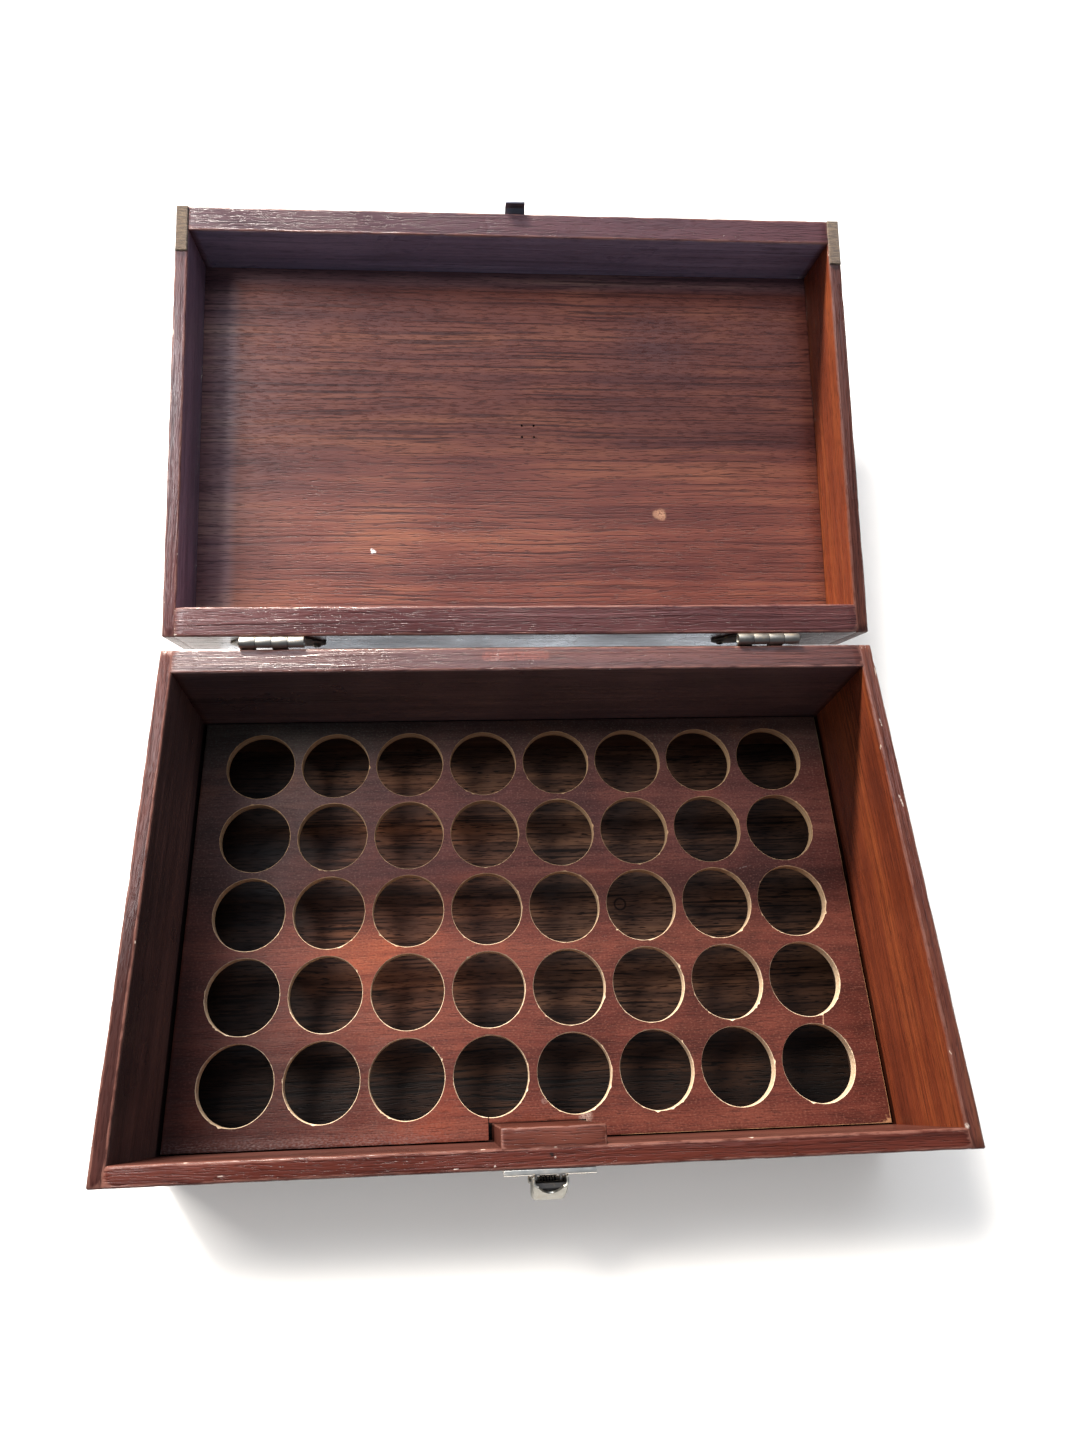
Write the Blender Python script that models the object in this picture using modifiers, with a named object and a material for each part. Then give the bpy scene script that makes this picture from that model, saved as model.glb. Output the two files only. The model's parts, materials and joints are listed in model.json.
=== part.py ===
"""Coin display tray: a hinged wooden box whose loose board holds forty round holes above the floor.

Metres, +Z up. The origin is the centre of the base's underside, +X is to the right of someone
facing the latch, and -Y is the latch side. The lid stands open as far as its hinges let it.
"""

import math

import bmesh
import bpy
from mathutils import Matrix, Vector

GAP = 0.0003  # clearance between glued or touching pieces

# Base
BOX_WIDTH = 0.310
BOX_DEPTH = 0.200
BASE_HEIGHT = 0.085
SIDE_WALL = 0.006
BASE_FRONT_WALL = 0.007
BASE_BACK_WALL = 0.011
FLOOR = 0.004
EDGE_ROUND = 0.0008

# Board with the holes
BOARD_TOP = 0.029
BOARD_THICKNESS = 0.005
COLUMNS = 8
ROWS = 5
COLUMN_PITCH = 0.0345
ROW_PITCH = 0.0339
ROWS_CENTRE_Y = -0.001
HOLE_RADIUS = 0.0155
HOLE_SIDES = 24
BOARD_SIDE_GAP = 0.0017
BOARD_END_GAP = 0.0006
BATTEN = 0.0055

# Block behind the latch, and the notch round it
BLOCK_LEFT = -0.0168
BLOCK_RIGHT = 0.0203
BLOCK_DEPTH = 0.006
NOTCH_LEFT = -0.0190
NOTCH_CLEARANCE = 0.0005
SAW_CUT = 0.0004

# Lid
RIM_GAP = 0.0012
LID_HEIGHT = 0.033
LID_FRONT_WALL = 0.012
LID_BACK_WALL = 0.013
LID_PANEL = 0.004
LID_OPEN = math.radians(163)
PINHOLE_RADIUS = 0.0006
PINHOLE_SPACING = 0.0058
PINHOLE_CENTRE = (0.0064, -0.0054)
PAD_LENGTH = 0.0222
PAD_WIDTH = 0.0054
PAD_THICKNESS = 0.0006

# Hinges
HINGE_X = 0.1083
HINGE_Y = BOX_DEPTH / 2 + 0.0028
HINGE_Z = BASE_HEIGHT + RIM_GAP / 2
KNUCKLES = 4
BARREL_LENGTH = 0.0274
BARREL_RADIUS = 0.0024
PIN_RADIUS = 0.0010
PIN_HOLE_RADIUS = 0.00135
LEAF = 0.0008
LEAF_HALF_WIDTH = 0.0210
LEAF_HEIGHT = 0.0225
LEAF_SCREW_X = 0.0165
LEAF_SCREW_DROP = 0.0175

# Latch on the base, and the strike on the lid
LATCH_PLATE = 0.0010
LATCH_PLATE_HALF_WIDTH = 0.0160
LATCH_PLATE_TOP = 0.0840
LATCH_PLATE_BOTTOM = 0.0600
HEM_DEPTH = 0.0018
PIVOT_Y = -0.1036
PIVOT_Z = 0.0740
LATCH_PIN_RADIUS = 0.0008
LATCH_PIN_HOLE = 0.00105
EAR_INNER_X = 0.0040
LEVER_INNER_X = 0.0053
SHEET = 0.0009
STRIKE_HALF_WIDTH = 0.0090
STRIKE_PLATE = 0.0008
TONGUE_WIDE = 0.0047
TONGUE_NARROW = 0.0034

# Screws
SCREW_HEAD = 0.0019
SCREW_SHANK = 0.0008
SCREW_LENGTH = 0.0060
SCREW_CLEARANCE = 0.0003

FACE_OUT = BOX_DEPTH / 2
INNER_X = BOX_WIDTH / 2 - SIDE_WALL
FRONT_INNER_Y = -FACE_OUT + BASE_FRONT_WALL
BACK_INNER_Y = FACE_OUT - BASE_BACK_WALL
LID_BOTTOM = BASE_HEIGHT + RIM_GAP
LID_TOP = LID_BOTTOM + LID_HEIGHT

XZ_PLANE = Matrix(((1, 0, 0, 0), (0, 0, -1, 0), (0, 1, 0, 0), (0, 0, 0, 1)))
YZ_PLANE = Matrix(((0, 0, 1, 0), (1, 0, 0, 0), (0, 1, 0, 0), (0, 0, 0, 1)))
HEAD_TO_BACK = (math.radians(-90), 0, 0)
HEAD_TO_FRONT = (math.radians(90), 0, 0)


def start_scene():
    for obj in list(bpy.data.objects):
        bpy.data.objects.remove(obj, do_unlink=True)
    parts = bpy.data.collections.new("coin_display_tray")
    cutters = bpy.data.collections.new("cutters")
    for collection in (parts, cutters):
        bpy.context.scene.collection.children.link(collection)
    cutters.hide_render = True
    return parts, cutters


def material(name, colour, roughness, metallic=0.0):
    made = bpy.data.materials.new(name)
    made.use_nodes = True
    made.diffuse_color = (*colour, 1)
    shader = made.node_tree.nodes["Principled BSDF"]
    shader.inputs["Base Color"].default_value = (*colour, 1)
    shader.inputs["Roughness"].default_value = roughness
    shader.inputs["Metallic"].default_value = metallic
    return made


def axis_empty(name, location, turn=0.0):
    """An empty on a joint's axis, which runs along X."""
    empty = bpy.data.objects.new(name, None)
    empty.location = location
    empty.rotation_euler = (turn, 0, 0)
    PARTS.objects.link(empty)
    return empty


def hang_on(obj, axis):
    """Parents a piece to its axis, keeping the place it has while the axis isn't turned."""
    if axis is not None:
        obj.parent = axis
        obj.matrix_parent_inverse = Matrix.Translation(axis.location).inverted()


def object_from(bm, name, finish, axis=None, collection=None):
    mesh = bpy.data.meshes.new(name)
    bm.to_mesh(mesh)
    bm.free()
    obj = bpy.data.objects.new(name, mesh)
    (collection or PARTS).objects.link(obj)
    if finish is not None:
        mesh.materials.append(finish)
    hang_on(obj, axis)
    return obj


def cuboid(name, low, high, finish, axis=None, rounding=EDGE_ROUND):
    low, high = Vector(low), Vector(high)
    bm = bmesh.new()
    bmesh.ops.create_cube(bm, size=1.0)
    bmesh.ops.scale(bm, vec=high - low, verts=bm.verts)
    obj = object_from(bm, name, finish, axis)
    obj.location = (low + high) / 2
    if rounding:
        bevel = obj.modifiers.new("rounded_edges", "BEVEL")
        bevel.width = rounding
        bevel.segments = 2
        bevel.limit_method = "ANGLE"
    return obj


def add_cylinder(bm, centre, radius, length, direction, sides=16):
    """A closed cylinder in bm, centred at centre, its length along direction."""
    turn = Vector((0, 0, 1)).rotation_difference(Vector(direction)).to_matrix().to_4x4()
    bmesh.ops.create_cone(bm, cap_ends=True, segments=sides, radius1=radius, radius2=radius, depth=length,
                          matrix=Matrix.Translation(centre) @ turn)


def add_box(bm, low, high):
    low, high = Vector(low), Vector(high)
    size = Matrix.Diagonal((*(high - low), 1))
    bmesh.ops.create_cube(bm, size=1.0, matrix=Matrix.Translation((low + high) / 2) @ size)


def as_cutter(bm, name, axis=None):
    cutter = object_from(bm, name, None, axis, CUTTERS)
    cutter.hide_render = True
    cutter.display_type = "WIRE"
    return cutter


def boolean(obj, tool, operation):
    modifier = obj.modifiers.new(operation.lower(), "BOOLEAN")
    modifier.operation = operation
    modifier.solver = "EXACT"
    modifier.object = tool
    modifier.use_self = False


def shade_round(obj):
    obj.data.shade_smooth()
    obj.data.set_sharp_from_angle(angle=math.radians(35))


def outline_solid(name, outline, thickness, plane, centre, finish, axis=None, collection=None):
    """A flat closed outline given a thickness, laid in plane, with its middle layer through centre."""
    curve = bpy.data.curves.new(name, "CURVE")
    curve.dimensions = "2D"
    curve.fill_mode = "BOTH"
    curve.extrude = thickness / 2
    spline = curve.splines.new("POLY")
    spline.points.add(len(outline) - 1)
    for point, (across, up) in zip(spline.points, outline):
        point.co = (across, up, 0, 1)
    spline.use_cyclic_u = True
    source = bpy.data.objects.new(name + "_outline", curve)
    PARTS.objects.link(source)
    bpy.context.view_layer.update()
    graph = bpy.context.evaluated_depsgraph_get()
    mesh = bpy.data.meshes.new_from_object(source.evaluated_get(graph))
    bpy.data.objects.remove(source, do_unlink=True)
    bm = bmesh.new()
    bm.from_mesh(mesh)
    bpy.data.meshes.remove(mesh)
    bmesh.ops.remove_doubles(bm, verts=bm.verts, dist=1e-6)
    bmesh.ops.transform(bm, matrix=Matrix.Translation(centre) @ plane, verts=bm.verts)
    bmesh.ops.recalc_face_normals(bm, faces=bm.faces)
    return object_from(bm, name, finish, axis, collection)


def hide_tool(tool):
    tool.hide_render = True
    tool.display_type = "WIRE"
    return tool


def strip_outline(line, thickness):
    """The closed outline of a bent strip whose middle follows line, with mitred corners."""
    points = [Vector(point) for point in line]
    left, right = [], []
    for index, point in enumerate(points):
        before = (point - points[index - 1]).normalized() if index else None
        after = (points[index + 1] - point).normalized() if index + 1 < len(points) else None
        directions = [way for way in (before, after) if way is not None]
        along = sum(directions, Vector((0, 0))).normalized()
        normal = Vector((-along.y, along.x))
        reach = thickness / 2 / max(0.3, along.dot(directions[0]))
        left.append(point + normal * reach)
        right.append(point - normal * reach)
    return left + right[::-1]


def arc(centre, radius, start, end, steps):
    """Points on an arc in degrees, both ends included."""
    angles = [math.radians(start + (end - start) * step / steps) for step in range(steps + 1)]
    return [(centre[0] + radius * math.cos(angle), centre[1] + radius * math.sin(angle)) for angle in angles]


def screw(name, place, turn, finish, axis=None):
    """A round-head wood screw, turned from a profile. place is the middle of the head's seat."""
    profile = [(0, 0.0011), (SCREW_HEAD * 0.55, 0.0009), (SCREW_HEAD, 0.0002), (SCREW_HEAD, 0),
               (SCREW_SHANK, 0), (SCREW_SHANK, 0.0015 - SCREW_LENGTH), (0, -SCREW_LENGTH)]
    bm = bmesh.new()
    corners = [bm.verts.new((radius, 0, height)) for radius, height in profile]
    for upper, lower in zip(corners, corners[1:]):
        bm.edges.new((upper, lower))
    obj = object_from(bm, name, finish, axis)
    obj.location = place
    obj.rotation_euler = turn
    lathe = obj.modifiers.new("lathe", "SCREW")
    lathe.steps = 12
    lathe.render_steps = 12
    lathe.use_merge_vertices = True
    lathe.merge_threshold = 0.00001
    lathe.use_smooth_shade = False
    return obj


def screw_holes(places, seat_y, inward):
    """A mesh of pilot holes for screws at (x, z) places, from outside seat_y to past each screw's point."""
    bm = bmesh.new()
    start = seat_y - inward * 0.002
    end = seat_y + inward * (SCREW_LENGTH + SCREW_CLEARANCE)
    radius = SCREW_SHANK + SCREW_CLEARANCE
    for x, z in places:
        add_cylinder(bm, (x, (start + end) / 2, z), radius, abs(end - start), (0, 1, 0), 12)
    return bm


def make_base(finishes):
    paint, bare_floor = finishes["base_paint"], finishes["floor_stain"]
    half = BOX_WIDTH / 2
    for side, outer in (("left", -half), ("right", half)):
        low_x, high_x = sorted((outer, outer + math.copysign(SIDE_WALL, -outer)))
        cuboid(f"base_{side}_wall", (low_x, -FACE_OUT, 0), (high_x, FACE_OUT, BASE_HEIGHT), paint)
    reach = INNER_X - GAP
    front = cuboid("base_front_wall", (-reach, -FACE_OUT, 0), (reach, FRONT_INNER_Y, BASE_HEIGHT), paint)
    back = cuboid("base_back_wall", (-reach, BACK_INNER_Y, 0), (reach, FACE_OUT, BASE_HEIGHT), paint)
    cuboid("base_floor", (-reach, FRONT_INNER_Y + GAP, 0), (reach, BACK_INNER_Y - GAP, FLOOR),
           bare_floor, rounding=0)
    cuboid("latch_backing_block", (BLOCK_LEFT, FRONT_INNER_Y + GAP, FLOOR + GAP),
           (BLOCK_RIGHT, FRONT_INNER_Y + GAP + BLOCK_DEPTH, BASE_HEIGHT), paint)
    return front, back


def make_battens(finish):
    """Strips on the floor, against the walls, that hold the board up."""
    low, high = FLOOR + GAP, BOARD_TOP - BOARD_THICKNESS - GAP
    end = INNER_X - GAP
    front, back = FRONT_INNER_Y + GAP, BACK_INNER_Y - GAP
    clear = BATTEN + 2 * GAP
    cuboid("batten_left", (-end, front, low), (-end + BATTEN, back, high), finish, rounding=0)
    cuboid("batten_right", (end - BATTEN, front, low), (end, back, high), finish, rounding=0)
    cuboid("batten_back", (-end + clear, back - BATTEN, low), (end - clear, back, high), finish, rounding=0)
    cuboid("batten_front_left", (-end + clear, front, low), (NOTCH_LEFT - 0.001, front + BATTEN * 0.8, high),
           finish, rounding=0)
    cuboid("batten_front_right", (BLOCK_RIGHT + 0.002, front, low), (end - clear, front + BATTEN * 0.8, high),
           finish, rounding=0)


def hole_centres():
    for row in range(ROWS):
        for column in range(COLUMNS):
            x = (column - (COLUMNS - 1) / 2) * COLUMN_PITCH
            y = ROWS_CENTRE_Y + ((ROWS - 1) / 2 - row) * ROW_PITCH
            yield x, y


def make_board(finish):
    """The loose board: its holes, the notch round the block, and a saw cut from notch to hole."""
    half = INNER_X - BOARD_SIDE_GAP
    front, back = FRONT_INNER_Y + BOARD_END_GAP, BACK_INNER_Y - BOARD_END_GAP
    bottom = BOARD_TOP - BOARD_THICKNESS
    board = cuboid("hole_board", (-half, front, bottom), (half, back, BOARD_TOP), finish, rounding=0)
    past = 0.002
    holes = bmesh.new()
    for x, y in hole_centres():
        add_cylinder(holes, (x, y, BOARD_TOP - BOARD_THICKNESS / 2), HOLE_RADIUS, BOARD_THICKNESS + 2 * past,
                     (0, 0, 1), HOLE_SIDES)
    notch_back = FRONT_INNER_Y + GAP + BLOCK_DEPTH + NOTCH_CLEARANCE
    notch = bmesh.new()
    add_box(notch, (NOTCH_LEFT, front - past, bottom - past),
            (BLOCK_RIGHT + NOTCH_CLEARANCE, notch_back, BOARD_TOP + past))
    saw_cut = bmesh.new()
    add_box(saw_cut, (NOTCH_LEFT, notch_back - past, bottom - past),
            (NOTCH_LEFT + SAW_CUT, notch_back + 0.004, BOARD_TOP + past))
    for bm, name in ((holes, "board_holes"), (notch, "board_notch"), (saw_cut, "board_saw_cut")):
        boolean(board, as_cutter(bm, name), "DIFFERENCE")


def make_lid(finishes, axis):
    paint, panel_stain, felt = finishes["lid_paint"], finishes["lid_panel_stain"], finishes["felt"]
    half = BOX_WIDTH / 2
    for side, outer in (("left", -half), ("right", half)):
        low_x, high_x = sorted((outer, outer + math.copysign(SIDE_WALL, -outer)))
        cuboid(f"lid_{side}_wall", (low_x, -FACE_OUT, LID_BOTTOM), (high_x, FACE_OUT, LID_TOP), paint, axis)
        middle = (low_x + high_x) / 2
        front = -FACE_OUT + GAP
        cuboid(f"lid_{side}_felt_pad", (middle - PAD_WIDTH / 2, front, LID_BOTTOM - GAP - PAD_THICKNESS),
               (middle + PAD_WIDTH / 2, front + PAD_LENGTH, LID_BOTTOM - GAP), felt, axis, rounding=0.0002)
    reach = INNER_X - GAP
    front_inner, back_inner = -FACE_OUT + LID_FRONT_WALL, FACE_OUT - LID_BACK_WALL
    front = cuboid("lid_front_wall", (-reach, -FACE_OUT, LID_BOTTOM), (reach, front_inner, LID_TOP),
                   paint, axis)
    back = cuboid("lid_back_wall", (-reach, back_inner, LID_BOTTOM), (reach, FACE_OUT, LID_TOP),
                  paint, axis)
    panel = cuboid("lid_panel", (-reach, front_inner + GAP, LID_TOP - LID_PANEL),
                   (reach, back_inner - GAP, LID_TOP), panel_stain, axis, rounding=0)
    pinholes = bmesh.new()
    for across in (-0.5, 0.5):
        for along in (-0.5, 0.5):
            x = PINHOLE_CENTRE[0] + across * PINHOLE_SPACING
            y = PINHOLE_CENTRE[1] + along * PINHOLE_SPACING
            add_cylinder(pinholes, (x, y, LID_TOP), PINHOLE_RADIUS, LID_PANEL * 3, (0, 0, 1), 8)
    boolean(panel, as_cutter(pinholes, "panel_pinholes", axis), "DIFFERENCE")
    return front, back


def leaf_outline(x, way):
    """One butterfly leaf seen from behind, from the barrel out to its flared end. way is 1 up, -1 down."""
    neck = HINGE_Z + way * (BARREL_RADIUS + 0.0004)
    shoulder = HINGE_Z + way * 0.0150
    end = HINGE_Z + way * LEAF_HEIGHT
    half_neck = BARREL_LENGTH / 2
    right = [(half_neck, neck), (LEAF_HALF_WIDTH * 0.86, HINGE_Z + way * 0.0105), (LEAF_HALF_WIDTH, shoulder),
             (LEAF_HALF_WIDTH * 0.93, HINGE_Z + way * 0.0195), (LEAF_HALF_WIDTH * 0.72, end),
             (LEAF_HALF_WIDTH * 0.25, HINGE_Z + way * (LEAF_HEIGHT - 0.0025))]
    return [(x + across, up) for across, up in right] + [(x - across, up) for across, up in reversed(right)]


def knuckle(index, x):
    length = BARREL_LENGTH / KNUCKLES
    left = x - BARREL_LENGTH / 2 + index * length
    return left + GAP / 2, left + length - GAP / 2


def make_leaf(name, x, way, indices, finish, axis=None):
    """A leaf flat on the wall's outer face, with its knuckles rolled round the pin."""
    outer_y = FACE_OUT + GAP
    leaf = outline_solid(name, leaf_outline(x, way), LEAF, XZ_PLANE, (0, outer_y + LEAF / 2, 0), finish, axis)
    for index in indices:
        start, end = knuckle(index, x)
        barrel = bmesh.new()
        add_cylinder(barrel, ((start + end) / 2, HINGE_Y, HINGE_Z), BARREL_RADIUS, end - start, (1, 0, 0), 20)
        boolean(leaf, as_cutter(barrel, f"{name}_barrel_{index}", axis), "UNION")
        tab = bmesh.new()
        near, far = sorted((HINGE_Z + way * 0.0004, HINGE_Z + way * (BARREL_RADIUS + 0.0012)))
        add_box(tab, (start, outer_y, near), (end, outer_y + LEAF, far))
        boolean(leaf, as_cutter(tab, f"{name}_tab_{index}", axis), "UNION")
    holes = bmesh.new()
    add_cylinder(holes, (x, HINGE_Y, HINGE_Z), PIN_HOLE_RADIUS, BARREL_LENGTH + 0.002, (1, 0, 0), 16)
    for side in (-1, 1):
        place = (x + side * LEAF_SCREW_X, outer_y, HINGE_Z + way * LEAF_SCREW_DROP)
        add_cylinder(holes, place, SCREW_SHANK + SCREW_CLEARANCE, 0.006, (0, 1, 0), 12)
    boolean(leaf, as_cutter(holes, f"{name}_holes", axis), "DIFFERENCE")
    return leaf


def make_hinges(nickel, axis, base_back, lid_back):
    base_places, lid_places = [], []
    seat = FACE_OUT + GAP + LEAF + GAP
    for side, x in (("left", -HINGE_X), ("right", HINGE_X)):
        make_leaf(f"{side}_hinge_base_leaf", x, -1, (0, 2), nickel)
        make_leaf(f"{side}_hinge_lid_leaf", x, 1, (1, 3), nickel, axis)
        pin = bmesh.new()
        add_cylinder(pin, (x, HINGE_Y, HINGE_Z), PIN_RADIUS, BARREL_LENGTH - 0.0004, (1, 0, 0), 16)
        shade_round(object_from(pin, f"{side}_hinge_pin", nickel))
        for end, offset in (("outer", -LEAF_SCREW_X), ("inner", LEAF_SCREW_X)):
            screw_x = x + (offset if side == "left" else -offset)
            below, above = HINGE_Z - LEAF_SCREW_DROP, HINGE_Z + LEAF_SCREW_DROP
            screw(f"{side}_hinge_base_screw_{end}", (screw_x, seat, below), HEAD_TO_BACK, nickel)
            screw(f"{side}_hinge_lid_screw_{end}", (screw_x, seat, above), HEAD_TO_BACK, nickel, axis)
            base_places.append((screw_x, below))
            lid_places.append((screw_x, above))
    boolean(base_back, as_cutter(screw_holes(base_places, seat, -1), "base_hinge_pilots"), "DIFFERENCE")
    boolean(lid_back, as_cutter(screw_holes(lid_places, seat, -1), "lid_hinge_pilots", axis), "DIFFERENCE")


def make_latch_plate(nickel, base_front):
    """The plate on the base, its folded top edge, and the two ears that carry the lever's pin."""
    back_y = -FACE_OUT - GAP
    front_y = back_y - LATCH_PLATE
    half, corner = LATCH_PLATE_HALF_WIDTH, 0.0025
    low, high = LATCH_PLATE_BOTTOM, LATCH_PLATE_TOP
    outline = [(-half, high), (-half, low + corner)]
    outline += arc((-half + corner, low + corner), corner, 180, 270, 4)[1:]
    outline += arc((half - corner, low + corner), corner, 270, 360, 4)
    outline += [(half, high)]
    middle_y = (back_y + front_y) / 2
    plate = outline_solid("latch_plate", outline, LATCH_PLATE, XZ_PLANE, (0, middle_y, 0), nickel)
    hem = bmesh.new()
    add_box(hem, (-half, back_y - HEM_DEPTH, high - 0.0014), (half, back_y - LATCH_PLATE / 2, high))
    boolean(plate, as_cutter(hem, "latch_plate_hem"), "UNION")
    ear = [(back_y - 0.0003, PIVOT_Z - 0.0026), (back_y - 0.0003, PIVOT_Z + 0.0026)]
    ear += arc((PIVOT_Y, PIVOT_Z), 0.0019, 70, 290, 8)
    for side in (-1, 1):
        middle = side * (EAR_INNER_X + SHEET / 2)
        tool = outline_solid(f"latch_ear_{side + 1}", ear, SHEET, YZ_PLANE, (middle, 0, 0),
                             None, None, CUTTERS)
        boolean(plate, hide_tool(tool), "UNION")
    places = [(x, z) for x in (-0.0120, 0.0120) for z in (low + 0.0042, high - 0.0050)]
    holes = bmesh.new()
    add_cylinder(holes, (0, PIVOT_Y, PIVOT_Z), LATCH_PIN_HOLE, 0.020, (1, 0, 0), 12)
    for x, z in places:
        add_cylinder(holes, (x, back_y, z), SCREW_SHANK + SCREW_CLEARANCE, 0.006, (0, 1, 0), 12)
    boolean(plate, as_cutter(holes, "latch_plate_holes"), "DIFFERENCE")
    seat = front_y - GAP
    for number, (x, z) in enumerate(places, start=1):
        screw(f"latch_screw_{number}", (x, seat, z), HEAD_TO_FRONT, nickel)
    boolean(base_front, as_cutter(screw_holes(places, seat, 1), "latch_pilots"), "DIFFERENCE")


def make_latch_lever(nickel, axis):
    """A bent sheet channel: a sloping face, scooped at its top edge, between two cheeks on the pin."""
    face_line = [(-0.1050, 0.0843), (-0.1086, 0.0732), (-0.1094, 0.0716), (-0.1102, 0.0707)]
    outer_x = LEVER_INNER_X + SHEET
    lever = outline_solid("latch_lever", strip_outline(face_line, SHEET), 2 * outer_x, YZ_PLANE,
                          (0, 0, 0), nickel, axis)
    scoop = bmesh.new()
    add_cylinder(scoop, (0, -0.1085, 0.0884), 0.0070, 0.009, (0, 1, 0), 32)
    boolean(lever, as_cutter(scoop, "lever_scoop", axis), "DIFFERENCE")
    cheek = [(-0.1027, 0.0842), (-0.1050, 0.0843), (-0.1086, 0.0732), (-0.1080, 0.0724), (-0.1060, 0.0718)]
    cheek += arc((PIVOT_Y, PIVOT_Z), 0.0019, 250, 370, 6)
    cheek += [(-0.1024, 0.0770), (-0.1027, 0.0790)]
    for side in (-1, 1):
        middle = side * (LEVER_INNER_X + SHEET / 2)
        tool = outline_solid(f"lever_cheek_{side + 1}", cheek, SHEET, YZ_PLANE, (middle, 0, 0),
                             None, axis, CUTTERS)
        boolean(lever, hide_tool(tool), "UNION")
    pin_hole = bmesh.new()
    add_cylinder(pin_hole, (0, PIVOT_Y, PIVOT_Z), LATCH_PIN_HOLE, 0.020, (1, 0, 0), 12)
    boolean(lever, as_cutter(pin_hole, "lever_pin_hole", axis), "DIFFERENCE")


def make_latch_pin_and_spring(nickel, steel):
    pin = bmesh.new()
    add_cylinder(pin, (0, PIVOT_Y, PIVOT_Z), LATCH_PIN_RADIUS, 0.0140, (1, 0, 0), 12)
    obj = object_from(pin, "latch_pin", nickel)
    for side in (-1, 1):
        head = bmesh.new()
        add_cylinder(head, (side * 0.0069, PIVOT_Y, PIVOT_Z), 0.0013, 0.0007, (1, 0, 0), 12)
        boolean(obj, as_cutter(head, f"latch_pin_head_{side + 1}"), "UNION")
    coil_radius, wire_radius, half_length, turns, steps = 0.00155, 0.00025, 0.0031, 5, 12
    curve = bpy.data.curves.new("latch_spring", "CURVE")
    curve.dimensions = "3D"
    curve.bevel_depth = wire_radius
    curve.bevel_resolution = 1
    curve.use_fill_caps = True
    spline = curve.splines.new("POLY")
    spline.points.add(turns * steps)
    for index, point in enumerate(spline.points):
        angle = 2 * math.pi * index / steps
        along = -half_length + 2 * half_length * index / (turns * steps)
        across, up = coil_radius * math.cos(angle), coil_radius * math.sin(angle)
        point.co = (along, PIVOT_Y + across, PIVOT_Z + up, 1)
    spring = bpy.data.objects.new("latch_spring", curve)
    curve.materials.append(steel)
    PARTS.objects.link(spring)


def make_strike(nickel, axis, lid_front):
    """The lid's plate and its tongue, which steps outward and drops past the rim into the latch."""
    back_y = -FACE_OUT - GAP
    low, high, corner = LID_BOTTOM + 0.0030, LID_BOTTOM + 0.0195, 0.0022
    half = STRIKE_HALF_WIDTH
    outline = [(-TONGUE_WIDE, low), (TONGUE_WIDE, low), (half, low + 0.0030), (half, high - corner)]
    outline += arc((half - corner, high - corner), corner, 0, 90, 4)[1:]
    outline += arc((-half + corner, high - corner), corner, 90, 180, 4)
    outline += [(-half, low + 0.0030)]
    middle = back_y - STRIKE_PLATE / 2
    strike = outline_solid("lid_strike", outline, STRIKE_PLATE, XZ_PLANE, (0, middle, 0), nickel, axis)
    line = [(middle, low + 0.0012), (middle, low - 0.0002), (-0.1036, LID_BOTTOM + 0.0006), (-0.1036, 0.0834)]
    tongue = outline_solid("strike_tongue", strip_outline(line, SHEET), 2 * TONGUE_WIDE, YZ_PLANE, (0, 0, 0),
                           None, axis, CUTTERS)
    taper = (TONGUE_WIDE - TONGUE_NARROW) / (low - 0.0834)
    for vertex in tongue.data.vertices:
        drop = max(0.0, low - vertex.co.z)
        vertex.co.x -= math.copysign(drop * taper, vertex.co.x)
    boolean(strike, hide_tool(tongue), "UNION")
    places = [(-0.0055, high - 0.0060), (0.0055, high - 0.0060)]
    holes = bmesh.new()
    for x, z in places:
        add_cylinder(holes, (x, back_y, z), SCREW_SHANK + SCREW_CLEARANCE, 0.006, (0, 1, 0), 12)
    boolean(strike, as_cutter(holes, "strike_holes", axis), "DIFFERENCE")
    seat = back_y - STRIKE_PLATE - GAP
    for number, (x, z) in enumerate(places, start=1):
        screw(f"strike_screw_{number}", (x, seat, z), HEAD_TO_FRONT, nickel, axis)
    boolean(lid_front, as_cutter(screw_holes(places, seat, 1), "strike_pilots", axis), "DIFFERENCE")


def main():
    finishes = {
        "base_paint": material("base_paint", (0.13, 0.035, 0.025), 0.5),
        "lid_paint": material("lid_paint", (0.15, 0.045, 0.032), 0.5),
        "lid_panel_stain": material("lid_panel_stain", (0.17, 0.055, 0.030), 0.45),
        "board_paint": material("board_paint", (0.12, 0.035, 0.028), 0.55),
        "floor_stain": material("floor_stain", (0.06, 0.025, 0.015), 0.6),
        "bare_wood": material("bare_wood", (0.60, 0.45, 0.28), 0.8),
        "felt": material("felt", (0.40, 0.27, 0.16), 0.95),
        "nickel": material("nickel", (0.62, 0.60, 0.54), 0.28, 1.0),
        "spring_steel": material("spring_steel", (0.35, 0.35, 0.36), 0.35, 1.0),
    }
    nickel = finishes["nickel"]
    base_front, base_back = make_base(finishes)
    make_battens(finishes["bare_wood"])
    make_board(finishes["board_paint"])
    lid_axis = axis_empty("lid_hinge_axis", (0, HINGE_Y, HINGE_Z))
    lid_front, lid_back = make_lid(finishes, lid_axis)
    make_hinges(nickel, lid_axis, base_back, lid_back)
    lever_axis = axis_empty("latch_lever_axis", (0, PIVOT_Y, PIVOT_Z))
    make_latch_plate(nickel, base_front)
    make_latch_lever(nickel, lever_axis)
    make_latch_pin_and_spring(nickel, finishes["spring_steel"])
    make_strike(nickel, lid_axis, lid_front)
    lid_axis.rotation_euler.x = -LID_OPEN


PARTS, CUTTERS = start_scene()
main()
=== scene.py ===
"""The looks of the coin display tray: worn red-brown boards, a drilled ply board, nickel hinges and latch.

Metres. Each piece is made with the lid shut, and a lid piece is then turned open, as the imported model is.
"""

import json
import math

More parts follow.
